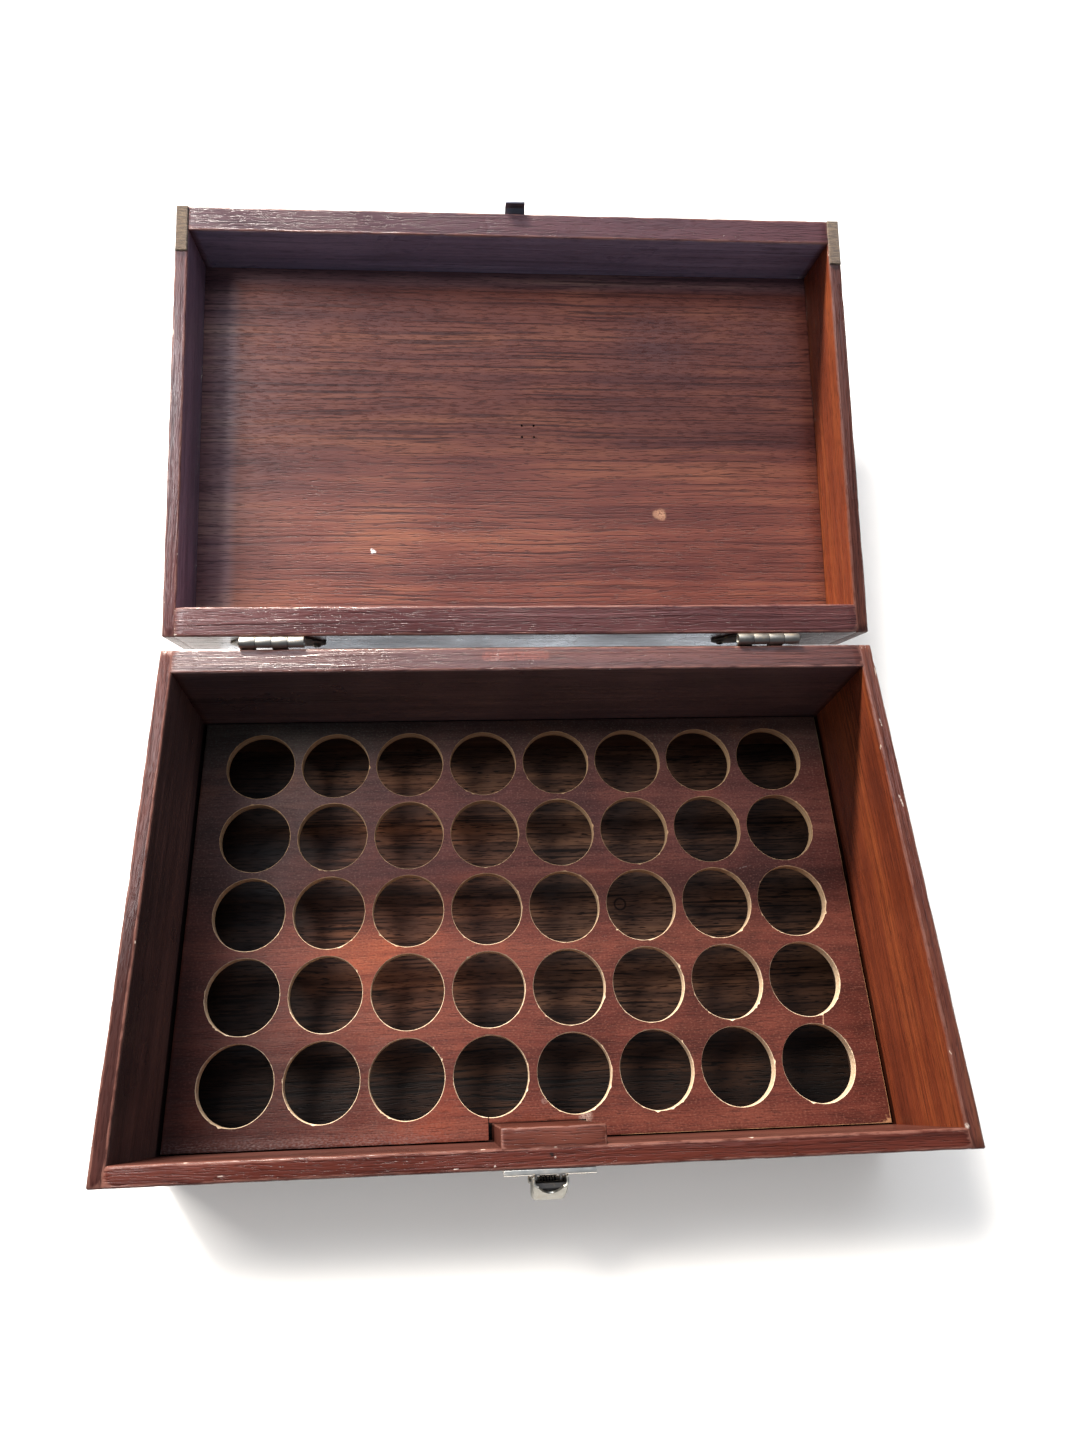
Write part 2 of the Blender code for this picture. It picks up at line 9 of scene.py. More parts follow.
import bmesh
import bpy
from mathutils import Matrix, Vector, noise

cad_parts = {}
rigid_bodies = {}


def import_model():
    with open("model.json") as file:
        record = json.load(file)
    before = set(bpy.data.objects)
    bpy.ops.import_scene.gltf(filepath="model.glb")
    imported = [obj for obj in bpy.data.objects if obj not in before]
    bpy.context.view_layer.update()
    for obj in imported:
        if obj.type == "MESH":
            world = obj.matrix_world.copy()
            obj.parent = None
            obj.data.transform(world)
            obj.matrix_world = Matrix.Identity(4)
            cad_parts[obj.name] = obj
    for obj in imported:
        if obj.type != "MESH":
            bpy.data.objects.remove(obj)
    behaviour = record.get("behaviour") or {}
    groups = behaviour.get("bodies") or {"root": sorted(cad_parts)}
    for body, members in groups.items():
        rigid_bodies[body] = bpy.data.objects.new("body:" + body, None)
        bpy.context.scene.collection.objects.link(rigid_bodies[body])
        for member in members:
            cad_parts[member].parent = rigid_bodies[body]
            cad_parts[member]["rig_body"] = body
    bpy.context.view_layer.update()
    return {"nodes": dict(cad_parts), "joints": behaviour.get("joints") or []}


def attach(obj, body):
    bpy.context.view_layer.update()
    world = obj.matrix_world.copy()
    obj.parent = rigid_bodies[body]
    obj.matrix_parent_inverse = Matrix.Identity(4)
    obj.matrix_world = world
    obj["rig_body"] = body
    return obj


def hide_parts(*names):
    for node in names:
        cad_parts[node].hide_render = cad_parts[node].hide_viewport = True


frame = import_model()

X, Y, Z = Vector((1, 0, 0)), Vector((0, 1, 0)), Vector((0, 0, 1))
CHIPPED_COLOUR = (0.50, 0.38, 0.30)
STILL = Matrix.Identity(4)
TOUCH = 0.0003  # the clearance between glued CAD pieces, which the wooden pieces here close
BURIED = 0.0014  # how far a wall's rounded end runs into the wall it is glued to, so that paint hides the seam


def joint(name):
    return next(each for each in frame["joints"] if each["name"] == name)


def turn_about(hinge, degrees):
    pivot = Matrix.Translation(Vector(hinge["pos_m"]))
    return pivot @ Matrix.Rotation(math.radians(degrees), 4, Vector(hinge["axis"])) @ pivot.inverted()


LID_HINGE = joint("lid_hinge")
OPEN = turn_about(LID_HINGE, -LID_HINGE["range_deg"][0])
PIVOT = Vector(joint("latch_lever_pivot")["pos_m"])
POSE = {"base": STILL, "board": STILL, "lever": STILL, "lid": OPEN}


def shut_box(node):
    """The lowest and highest corner of a CAD node with the lid shut."""
    obj = frame["nodes"][node]
    undo = POSE[obj["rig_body"]].inverted()
    points = [undo @ vertex.co for vertex in obj.data.vertices]
    low = Vector([min(point[axis] for point in points) for axis in range(3)])
    high = Vector([max(point[axis] for point in points) for axis in range(3)])
    return low, high


# ---------------------------------------------------------------- materials


class Graph:
    """A material's nodes, built up one call at a time."""

    def __init__(self, made):
        """made is the name of a new material, or a finished one that is to be changed."""
        self.material = bpy.data.materials.new(made) if isinstance(made, str) else made
        self.material.use_nodes = True
        self.tree = self.material.node_tree
        self.shader = self.tree.nodes["Principled BSDF"]

    def add(self, kind, inputs, output=0, **settings):
        node = self.tree.nodes.new(kind)
        for key, value in settings.items():
            setattr(node, key, value)
        for key, value in inputs.items():
            self.feed(node.inputs[key], value)
        return node.outputs[output]

    def feed(self, socket, value):
        if isinstance(value, bpy.types.NodeSocket):
            self.tree.links.new(value, socket)
        elif socket.type == "RGBA" and len(value) == 3:
            socket.default_value = (*value, 1)
        else:
            socket.default_value = value

    def place(self):
        return self.add("ShaderNodeTexCoord", {}, "Object")

    def axis(self, place, letter):
        return self.add("ShaderNodeSeparateXYZ", {0: place}, letter)

    def vector(self, operation, first, second, output=0):
        return self.add("ShaderNodeVectorMath", {0: first, 1: second}, output, operation=operation)

    def attribute(self, name):
        return self.add("ShaderNodeAttribute", {}, "Fac", attribute_name=name)

    def source(self, socket="Base Color"):
        """What feeds a socket of the shader so far."""
        return self.shader.inputs[socket].links[0].from_socket

    def stretch(self, place, scale):
        return self.add("ShaderNodeMapping", {"Vector": place, "Scale": scale})

    def noise(self, place, scale=1.0, detail=2.0, roughness=0.5):
        inputs = {"Vector": place, "Scale": scale, "Detail": detail, "Roughness": roughness}
        return self.add("ShaderNodeTexNoise", inputs, "Fac")

    def math(self, operation, first, second=0.0, third=0.0, clamp=False):
        inputs = {0: first, 1: second, 2: third}
        return self.add("ShaderNodeMath", inputs, operation=operation, use_clamp=clamp)

    def times(self, first, second):
        return self.math("MULTIPLY", first, second)

    def minus(self, first, second):
        return self.math("SUBTRACT", first, second)

    def plus_times(self, value, factor, base, clamp=False):
        """base + value * factor"""
        return self.math("MULTIPLY_ADD", value, factor, base, clamp)

    def size(self, value):
        return self.math("ABSOLUTE", value)

    def band(self, value, start, end, to_low=0.0, to_high=1.0):
        """value from start to end becomes to_low to to_high, smoothly, and stays there beyond."""
        inputs = {"Value": value, "From Min": start, "From Max": end, "To Min": to_low, "To Max": to_high}
        return self.add("ShaderNodeMapRange", inputs, interpolation_type="SMOOTHSTEP")

    def mix(self, share, first, second, blend="MIX"):
        node = self.tree.nodes.new("ShaderNodeMix")
        node.data_type = "RGBA"
        node.blend_type = blend
        self.feed(node.inputs["Factor"], share)
        self.feed(node.inputs[6], first)
        self.feed(node.inputs[7], second)
        return node.outputs[2]

    def tint(self, share, paint, factors):
        """paint, multiplied by factors as far as share says."""
        return self.mix(share, paint, self.mix(1.0, paint, factors, "MULTIPLY"))

    def ramp(self, value, stops):
        node = self.tree.nodes.new("ShaderNodeValToRGB")
        self.feed(node.inputs["Fac"], value)
        elements = node.color_ramp.elements
        while len(elements) < len(stops):
            elements.new(0.5)
        for element, (position, colour) in zip(elements, stops):
            element.position = position
            element.color = (*colour, 1)
        return node.outputs["Color"]

    def bump(self, height, distance, strength=1.0):
        return self.add("ShaderNodeBump", {"Height": height, "Distance": distance, "Strength": strength})

    def finish(self, colour, normal, rough, **constants):
        """Feeds the shader. A constant is named with _ for each space in its socket's name."""
        for socket, value in (("Base Color", colour), ("Normal", normal), ("Roughness", rough)):
            self.feed(self.shader.inputs[socket], value)
        for name, value in constants.items():
            self.shader.inputs[name.replace("_", " ")].default_value = value
        return self.material

    def near(self, place, spot, reach):
        """1 at spot, falling to 0 at reach from it."""
        return self.band(self.vector("DISTANCE", place, spot, "Value"), reach * 0.35, reach, 1.0, 0.0)

    def along_line(self, place, start, end, width):
        """1 on the line from start to end, falling to 0 at half of width from it."""
        way = (end - start).normalized()
        offset = self.vector("SUBTRACT", place, start)
        reach = self.vector("DOT_PRODUCT", offset, way, "Value")
        reach = self.math("MINIMUM", self.math("MAXIMUM", reach, 0.0), (end - start).length)
        nearest = self.add("ShaderNodeVectorMath", {0: way, "Scale": reach}, operation="SCALE")
        away = self.vector("DISTANCE", offset, nearest, "Value")
        return self.band(away, width * 0.25, width * 0.5, 1.0, 0.0)


def grain_scale(along, lengthwise, across):
    return tuple(lengthwise if axis == along else across for axis in range(3))


def wood(name, along, stain, seed, gloss=0.42, lines=0.6, pores=0.6, shine=0.5, relief=1.0, worn=None,
         rim_stain=(1, 1, 1), marks=(), run=1.0, ridges=0.0):
    """Stained and varnished wood with its grain along axis 0 or 1.

    stain holds its dark, middle and pale colour. gloss is its roughness and shine its specular level. lines
    and pores say how much they show, run stretches the lines, and ridges raises long thin lines of varnish.
    worn is the colour of rubbed edges, and rim_stain what the coat on rims and outer faces leaves of the
    colour. A mark is a spot, or the two ends of a line, with its reach or width, its colour and its strength."""
    dark, middle, pale = stain
    g = Graph(name)
    place = g.place()
    shifted = g.vector("ADD", place, (seed * 0.37, seed * 0.23, seed * 0.11))
    bend = g.times(g.minus(g.noise(g.stretch(shifted, grain_scale(along, 9, 26))), 0.5), 0.006)
    sideways = {"Z": bend, "Y" if along == 0 else "X": bend}
    grain = g.vector("ADD", shifted, g.add("ShaderNodeCombineXYZ", sideways))
    broad = g.noise(g.stretch(grain, grain_scale(along, 4, 42)), detail=3.0, roughness=0.55)
    streaks = g.noise(g.stretch(grain, grain_scale(along, 10 / run, 280)), detail=3.0, roughness=0.6)
    fine = g.noise(g.stretch(grain, grain_scale(along, 34 / run, 900)))
    dashes = g.noise(g.stretch(grain, grain_scale(along, 170, 2300)), detail=1.0)
    patches = g.noise(shifted, scale=15.0, detail=4.0, roughness=0.6)
    tone = 0.5
    for cloud, share in ((broad, 0.9), (streaks, 0.60), (patches, 0.55)):
        tone = g.plus_times(g.minus(cloud, 0.5), share, tone)
    colour = g.ramp(tone, [(0.28, dark), (0.50, middle), (0.72, pale)])
    line_mask = g.times(g.band(fine, 0.50, 0.34), g.band(patches, 0.30, 0.62, lines * 0.35, lines))
    colour = g.mix(line_mask, colour, tuple(c * 0.55 for c in dark))
    pore_mask = g.times(g.band(dashes, 0.43, 0.34), pores)
    colour = g.mix(pore_mask, colour, tuple(c * 0.40 for c in dark))
    rough = g.band(patches, 0.35, 0.65, gloss - 0.05, gloss + 0.10)
    if worn is not None:
        rim, edge = g.attribute("rim"), g.attribute("edge")
        colour = g.tint(rim, colour, rim_stain)
        rough = g.plus_times(rim, -0.04, rough)
        rub = g.noise(g.stretch(shifted, grain_scale(along, 110, 380)), detail=4.0, roughness=0.65)
        rubbed = g.band(g.times(edge, g.math("ADD", rub, 0.30)), 0.62, 0.86)
        colour = g.mix(g.times(rubbed, 0.65), colour, worn)
        chips = g.noise(g.stretch(shifted, grain_scale(along, 190, 420)))
        chipped = g.band(g.times(edge, chips), 0.70, 0.73)
        colour = g.mix(chipped, colour, CHIPPED_COLOUR)
        rough = g.plus_times(chipped, 0.3, rough, clamp=True)
    for spot, reach, mark_colour, strength in marks:
        close = g.near(place, spot, reach) if isinstance(spot, Vector) else g.along_line(place, *spot, reach)
        mask = g.times(close, g.band(g.noise(shifted, scale=1300.0), 0.30, 0.50))
        colour = g.mix(g.times(mask, strength), colour, mark_colour)
    height = g.plus_times(pore_mask, -1.0, g.times(line_mask, -0.7))
    height = g.plus_times(dashes, 0.9, g.plus_times(patches, 0.8, height))
    if ridges:
        ridge = g.band(g.noise(g.stretch(grain, grain_scale(along, 5, 430)), detail=1.0), 0.56, 0.66)
        height = g.plus_times(ridge, ridges, height)
    return g.finish(colour, g.bump(height, 0.00008 * relief), rough, Specular_IOR_Level=shine)


def tinted(material, factors, find_share):
    """Multiplies the paint of a finished material by factors, as far as find_share(graph, place) says."""
    g = Graph(material)
    g.feed(g.shader.inputs["Base Color"], g.tint(find_share(g, g.place()), g.source(), factors))


def bare_ply(name, low, thickness):
    """Raw pale plywood, browner towards the back as painted shade. The middle one of its three plies shows its end
    grain.
    """
    g = Graph(name)
    place = g.place()
    grain = g.noise(g.stretch(place, grain_scale(0, 60, 900)), detail=3.0, roughness=0.6)
    colour = g.ramp(grain, [(0.30, (0.46, 0.31, 0.18)), (0.52, (0.62, 0.46, 0.30)), (0.72, (0.72, 0.57, 0.40))])
    # Painted shade: browner towards the back.
    colour = g.tint(g.band(g.axis(place, "Y"), -0.045, 0.035), colour, (0.78, 0.62, 0.46))
    from_middle = g.size(g.minus(g.times(g.minus(g.axis(place, "Z"), low), 3.0 / thickness), 1.5))
    inner = g.minus(1.0, g.band(from_middle, 0.42, 0.58))
    colour = g.mix(g.times(inner, 0.45), colour, (0.62, 0.42, 0.24))
    glue_line = g.band(g.size(g.minus(from_middle, 0.5)), 0.07, 0.02)
    colour = g.mix(g.times(glue_line, 0.5), colour, (0.30, 0.17, 0.09))
    specks = g.band(g.noise(place, scale=1400.0), 0.60, 0.72, 0.0, 0.5)
    return g.finish(g.mix(specks, colour, (0.36, 0.20, 0.11)), g.bump(grain, 0.00025), 0.82)


def felt_cloth(name):
    """Tan ribbed cloth tape with a fuzzy nap."""
    g = Graph(name)
    place = g.place()
    nap = g.noise(place, scale=2600.0, detail=3.0, roughness=0.6)
    ribs = g.noise(g.stretch(place, (260, 1500, 260)))
    soil = g.band(g.noise(place, scale=140.0, detail=4.0), 0.50, 0.70, 0.0, 0.5)
    colour = g.ramp(g.math("ADD", g.times(nap, 0.55), g.times(ribs, 0.45)),
                    [(0.34, (0.030, 0.017, 0.010)), (0.50, (0.105, 0.064, 0.036)), (0.66, (0.26, 0.175, 0.10))])
    return g.finish(g.mix(soil, colour, (0.055, 0.032, 0.020)), g.bump(nap, 0.00035), 0.95,
                    Sheen_Weight=0.35, Sheen_Roughness=0.5)


def nickel_plate(name, brass=0.35, tint=(0.58, 0.55, 0.48), dull=0.34):
    """Thin nickel plate over brass, with fine scratches, dull patches and brass showing where it is rubbed."""
    g = Graph(name)
    place = g.place()
    cloud = g.noise(place, scale=240.0, detail=5.0, roughness=0.6)
    scratches = g.noise(g.stretch(place, (5200, 380, 900)))
    colour = g.mix(g.band(cloud, 0.56, 0.74, 0.0, brass), tint, (0.62, 0.42, 0.20))
    colour = g.mix(g.band(cloud, 0.42, 0.26, 0.0, 0.55), colour, (0.24, 0.20, 0.16))
    rough = g.math("ADD", g.band(cloud, 0.30, 0.70, dull, dull + 0.16), g.band(scratches, 0.55, 0.75, 0.0, 0.12))
    return g.finish(colour, g.bump(scratches, 0.00002, 0.6), rough, Metallic=1.0)


# ---------------------------------------------------------------- mesh tools


def resharpened(mesh, smooth=math.radians(35)):
    """mesh, shaded smooth up to an angle between faces."""
    mesh.shade_smooth()
    mesh.set_sharp_from_angle(angle=smooth)
    return mesh


def mesh_from(bm, name, smooth=math.radians(35)):
    bmesh.ops.recalc_face_normals(bm, faces=bm.faces)
    mesh = bpy.data.meshes.new(name)
    bm.to_mesh(mesh)
    bm.free()
    return resharpened(mesh, smooth)


def ring_faces(bm, first, second):
    """The faces between two closed rings of as many vertices."""
    count = len(first)
    return [bm.faces.new((first[index], first[(index + 1) % count], second[(index + 1) % count], second[index]))
            for index in range(count)]


def sheet_faces(bm, grid):
    """The faces between the neighbouring lines of a grid of vertices."""
    for first, second in zip(grid, grid[1:]):
        for index in range(len(first) - 1):
            bm.faces.new((first[index], first[index + 1], second[index + 1], second[index]))


def linked(name, data):
    """A new object of data in the scene."""
    obj = bpy.data.objects.new(name, data)
    bpy.context.scene.collection.objects.link(obj)
    return obj


def piece(name, mesh, materials, node):
    """Puts a finished mesh in the scene, in the place of the CAD node and on its body."""
    body = frame["nodes"][node]["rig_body"]
    obj = linked(name, mesh)
    obj.matrix_world = POSE[body]
    for each in materials:
        mesh.materials.append(each)
    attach(obj, body)
    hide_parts(node)


def baked(obj):
    """The mesh of obj with its modifiers applied. obj is removed."""
    graph = bpy.context.evaluated_depsgraph_get()
    mesh = bpy.data.meshes.new_from_object(obj.evaluated_get(graph))
    bpy.data.objects.remove(obj, do_unlink=True)
    return mesh


def loose(data):
    return linked(data.name + "_loose", data)


def combined(mesh, tools, operation):
    """mesh joined to or cut by the tool meshes, one after the other."""
    for tool in tools:
        target, helper = loose(mesh), loose(tool)
        modifier = target.modifiers.new("boolean", "BOOLEAN")
        modifier.operation = operation
        modifier.solver = "EXACT"
        modifier.object = helper
        bpy.context.view_layer.update()
        mesh = baked(target)
        bpy.data.objects.remove(helper, do_unlink=True)
    return mesh


def fill_side(start, end, fine):
    """Evenly spaced values from start to end, both left out."""
    count = max(1, round(abs(end - start) / fine))
    return [start + (end - start) * step / count for step in range(1, count)]


def rounded_section(width, height, radius, fine):
    """A rounded rectangle about the origin as (point, outward normal, nearness to a corner)."""
    right, top = width / 2 - radius, height / 2 - radius
    centres = [Vector(centre) for centre in ((right, -top), (right, top), (-right, top), (-right, -top))]
    section = []
    for quarter, centre in enumerate(centres):
        for step in range(5):
            angle = math.radians(90 * (quarter - 1) + 90 * step / 4)
            normal = Vector((math.cos(angle), math.sin(angle)))
            section.append((centre + normal * radius, normal, 1.0))
        # The last normal of the corner is also that of the side that follows.
        after = centres[(quarter + 1) % 4]
        length = (after - centre).length
        spacing = fine if length < 0.02 else fine * 3.0
        first, last = centre + normal * radius, after + normal * radius
        shares = [0.0006 / length, 0.0015 / length] + fill_side(0.003 / length, 1 - 0.003 / length, spacing / length)
        for share in shares + [1 - 0.0015 / length, 1 - 0.0006 / length]:
            distance = min(share, 1 - share) * length
            section.append((first.lerp(last, share), normal, math.exp(-distance / 0.0011)))
    return section


def board_mesh(name, low, high, along, outside=0, radius=0.0009, fine=0.0016, step=0.0035, wear=0.00035,
               comb=0.00010):
    """A sawn board: a rounded section swept along axis 0 or 1, with rubbed corners and combed grain.

    outside is the side of its outer face, -1 or 1. That face and the narrow ones carry more stain."""
    across = 1 - along
    centre = (low + high) / 2
    section = rounded_section(high[across] - low[across], high.z - low.z, radius, fine)
    ends = [(radius * (1 - math.cos(angle)), radius * (1 - math.sin(angle)))
            for angle in (0.0, math.pi / 8, math.pi / 4, 3 * math.pi / 8)]
    stations = [(low[along] + depth, inset) for depth, inset in ends]
    stations += [(place, 0.0) for place in fill_side(low[along] + radius, high[along] - radius, step)]
    stations += [(high[along] - depth, inset) for depth, inset in reversed(ends)]
    bm = bmesh.new()
    edge_layer, rim_layer = bm.verts.layers.float.new("edge"), bm.verts.layers.float.new("rim")
    rings = []
    for place, inset in stations:
        ring = []
        for point, normal, edge in section:
            where = Vector((point.x, point.y, place)) + centre
            rubbed = max(0.0, noise.noise(Vector((place * 90, point.x * 300, point.y * 300)) + centre * 40))
            bite = max(0.0, noise.noise(Vector((place * 420, point.x * 500, point.y * 500)) + centre * 70) - 0.35)
            groove = abs(noise.noise(Vector((place * 7, where.x * 620, where.y * 620)) + centre * 10))
            depth = edge * wear * (rubbed + 1.6 * bite) + comb * groove
            spot = point - normal * (inset + depth)
            position = Vector((0, 0, 0))
            position[along] = place
            position[across] = centre[across] + spot.x
            position.z = centre.z + spot.y
            vertex = bm.verts.new(position)
            vertex[edge_layer] = 0.2 if inset == radius else max(edge, 1.0 if inset else 0.0)
            vertex[rim_layer] = 1.0 if abs(normal.y) > 0.6 or normal.x * outside > 0.6 or inset else 0.0
            ring.append(vertex)
        rings.append(ring)
    for first, second in zip(rings, rings[1:]):
        ring_faces(bm, first, second)
    bm.faces.new(rings[0][::-1])
    bm.faces.new(rings[-1])
    return mesh_from(bm, name)


def extruded(name, outline, plane, start, end, rounding=0.00012):
    """A flat outline made solid from start to end across its plane, with its sharp edges rounded."""
    bm = bmesh.new()
    low = [bm.verts.new(plane @ Vector((u, v, start))) for u, v in outline]
    high = [bm.verts.new(plane @ Vector((u, v, end))) for u, v in outline]
    bm.faces.new(low[::-1])
    bm.faces.new(high)
    ring_faces(bm, low, high)
    bmesh.ops.recalc_face_normals(bm, faces=bm.faces)
    sharp = [edge for edge in bm.edges if edge.calc_face_angle(0.0) > math.radians(40)]
    bmesh.ops.bevel(bm, geom=sharp, offset=rounding, segments=2, profile=0.5, affect="EDGES")
    return mesh_from(bm, name)


def arc(centre, radius, start, end, steps):
    angles = [math.radians(start + (end - start) * step / steps) for step in range(steps + 1)]
    return [(centre[0] + radius * math.cos(angle), centre[1] + radius * math.sin(angle)) for angle in angles]


def strip(line, thickness):
    """The closed outline of a bent strip whose middle follows line."""
    points = [Vector(point) for point in line]
    left, right = [], []
    for index, point in enumerate(points):
        ways = []
        if index:
            ways.append((point - points[index - 1]).normalized())
        if index + 1 < len(points):
            ways.append((points[index + 1] - point).normalized())
        along = sum(ways, Vector((0, 0))).normalized()
        normal = Vector((-along.y, along.x)) * (thickness / 2 / max(0.4, along.dot(ways[0])))
        left.append(point + normal)
        right.append(point - normal)
    return left + right[::-1]


def lathe(name, profile, centre, direction, steps=32):
    """A turned solid. profile is (radius, distance along direction) from one end of the axis to the other."""
    turn = Z.rotation_difference(Vector(direction)).to_matrix().to_4x4()
    place = Matrix.Translation(centre) @ turn
    bm = bmesh.new()
    rings = []
    for radius, along in profile:
        if radius < 1e-7:
            rings.append([bm.verts.new(place @ Vector((0, 0, along)))])
            continue
        rings.append([bm.verts.new(place @ Vector((radius * math.cos(2 * math.pi * step / steps),
                                                   radius * math.sin(2 * math.pi * step / steps), along)))
                      for step in range(steps)])
    for first, second in zip(rings, rings[1:]):
        for step in range(steps):
            after = (step + 1) % steps
            corners = (first[step % len(first)], second[step % len(second)],
                       second[after % len(second)], first[after % len(first)])
            bm.faces.new(list(dict.fromkeys(corners)))
    return mesh_from(bm, name)


def box_tool(name, low, high):
    low, high = Vector(low), Vector(high)
    bm = bmesh.new()
    bmesh.ops.create_cube(bm, size=1.0, matrix=Matrix.Translation((low + high) / 2)
                          @ Matrix.Diagonal((*(high - low), 1)))
    return mesh_from(bm, name)


def holed(mesh, places, radius, direction, depth=0.004):
    """mesh with round holes through it at the places."""
    rim = [(0, -depth), (radius, -depth), (radius, depth), (0, depth)]
    tools = [lathe("drill", rim, place, direction, 24) for place in places]
    return combined(mesh, tools, "DIFFERENCE")


YZ = Matrix(((0, 0, 1, 0), (1, 0, 0, 0), (0, 1, 0, 0), (0, 0, 0, 1)))
XZ = Matrix(((1, 0, 0, 0), (0, 0, -1, 0), (0, 1, 0, 0), (0, 0, 0, 1)))


# ---------------------------------------------------------------- box


# The next four wall stains are lit and shaded copies of one stain, as painted light and shade: the right walls' stain
# is brighter and more orange, the base's other walls' stains are darker, and the lid's is purple-grey.
LIT_RIGHT_WALL_STAIN = (0.120, 0.025, 0.012), (0.225, 0.048, 0.018), (0.340, 0.084, 0.026)
SHADED_WALL_STAIN = (0.070, 0.032, 0.027), (0.125, 0.053, 0.043), (0.190, 0.080, 0.060)
SHADED_LID_WALL_STAIN = (0.105, 0.056, 0.062), (0.170, 0.090, 0.100), (0.230, 0.122, 0.130)
SHADED_FRONT_WALL_STAIN = (0.052, 0.017, 0.012), (0.086, 0.028, 0.020), (0.130, 0.045, 0.031)
BLOCK_STAIN = (0.042, 0.010, 0.007), (0.070, 0.017, 0.010), (0.105, 0.028, 0.016)
FLOOR_STAIN = (0.022, 0.012, 0.008), (0.078, 0.038, 0.023), (0.200, 0.092, 0.048)
PANEL_STAIN = (0.085, 0.023, 0.018), (0.150, 0.043, 0.028), (0.240, 0.080, 0.042)
BOARD_STAIN = (0.066, 0.017, 0.012), (0.108, 0.028, 0.020), (0.160, 0.047, 0.031)
BATTEN_STAIN = (0.020, 0.011, 0.008), (0.045, 0.023, 0.015), (0.080, 0.040, 0.025)
# These tables are read by a wall's name, else its side, else its half.
WALL_STAINS = {"right": LIT_RIGHT_WALL_STAIN, "base": SHADED_WALL_STAIN, "lid": SHADED_LID_WALL_STAIN, "base_front_wall": SHADED_FRONT_WALL_STAIN}
# What the second coat on rims and outer faces leaves of the wood's colour. The right walls' entry also makes up for
# the overhead lamp kept off them, as painted light, and the lid front wall's entry is bluer, as a painted sky
# reflection.
RIM_STAINS = {"right": (0.48, 0.64, 1.00), "base": (0.58, 0.44, 0.42), "lid": (0.50, 0.29, 0.24),
              "base_front_wall": (0.86, 0.58, 0.50), "lid_front_wall": (0.40, 0.27, 0.28)}
# How far the varnish still shines.
WALL_SHINES = {"base": 0.36, "lid": 0.36, "base_front_wall": 0.20, "base_back_wall": 0.55,
               "base_left_wall": 0.14, "lid_back_wall": 0.42, "lid_front_wall": 0.30}
# A painted blue-grey shade tone for the inner faces of the walls that stand in shade.
INNER_SHADE_TINTS = {"lid_front_wall": (1.15, 1.85, 2.35), "lid_left_wall": (1.40, 1.75, 2.10),
               "base_back_wall": (0.92, 1.30, 1.55), "base_left_wall": (1.05, 1.35, 1.45)}
RIM_WORN = (0.20, 0.085, 0.062)
BOARD_SHADOW_TOP = 0.0290  # below this height, beside the board, the walls carry a painted shadow of the board
BOARD_SHADOW = (0.20, 0.20, 0.22)


def level(z):
    """Gives points at a height: level(z)(x, y)."""
    return lambda x, y: Vector((x, y, z))


def inner(g, _):
    return g.minus(1.0, g.attribute("rim"))


# The inner faces below the board's top, which carry the painted shadow.
def in_board_shadow(g, place):
    return g.times(g.band(g.axis(place, "Z"), BOARD_SHADOW_TOP - 0.0003, BOARD_SHADOW_TOP + 0.0003, 1.0, 0.0), inner(g, place))


def make_walls():
    """The eight walls of the base and the lid, glued at their corners."""
    chip, nail, red = (0.55, 0.45, 0.38), (0.012, 0.006, 0.005), (0.16, 0.045, 0.030)
    at = level(shut_box("base_front_wall")[1].z)
    marks = {
        "base_front_wall": [
            (at(0.0006, -0.0957), 0.0011, nail, 1.0),
            (at(0.0018, -0.0966), 0.0005, chip, 0.8),
            (at(-0.0190, -0.0985), 0.0005, chip, 0.8),
            ((at(-0.0330, -0.0988), at(-0.0316, -0.0987)), 0.0004, chip, 0.8),
            ((at(-0.1120, -0.0978), at(-0.1100, -0.0976)), 0.0005, chip, 0.5),
        ],
        "base_back_wall": [((at(-0.0165, 0.0955), at(0.0085, 0.0958)), 0.0056, red, 0.75)],
        "base_right_wall": [
            ((at(0.1522, 0.0300), at(0.1530, 0.0255)), 0.0008, chip, 0.8),
            ((at(0.1512, 0.0640), at(0.1516, 0.0610)), 0.0006, chip, 0.7),
            (at(0.1497, -0.0925), 0.0012, chip, 0.9),
        ],
    }
    for half, first_seed in (("base", 1), ("lid", 6)):
        for seed, side in enumerate(("front", "back", "left", "right"), first_seed):
            node = f"{half}_{side}_wall"
            stain, rim_stain, shine = (table.get(node) or table.get(side) or table[half]
                                       for table in (WALL_STAINS, RIM_STAINS, WALL_SHINES))
            low, high = shut_box(node)
            along = 1 if side in ("left", "right") else 0
            if along == 0:
                low.x -= BURIED
                high.x += BURIED
            finish = wood(f"{node}_wood", along, stain, seed, gloss=0.32, lines=0.50, pores=0.40, shine=shine,
                          relief=1.6, worn=RIM_WORN, rim_stain=rim_stain, marks=marks.get(node, ()), run=2.2,
                          ridges=0.9)
            # Painted blue-grey shade on the inner faces.
            if node in INNER_SHADE_TINTS:
                tinted(finish, INNER_SHADE_TINTS[node], inner)
            # A painted shadow of the board on the base walls below its top.
            if half == "base":
                tinted(finish, BOARD_SHADOW, in_board_shadow)
            outside = -1 if side in ("left", "front") else 1
            piece(f"{node}_board", board_mesh(node, low, high, along, outside), [finish], node)


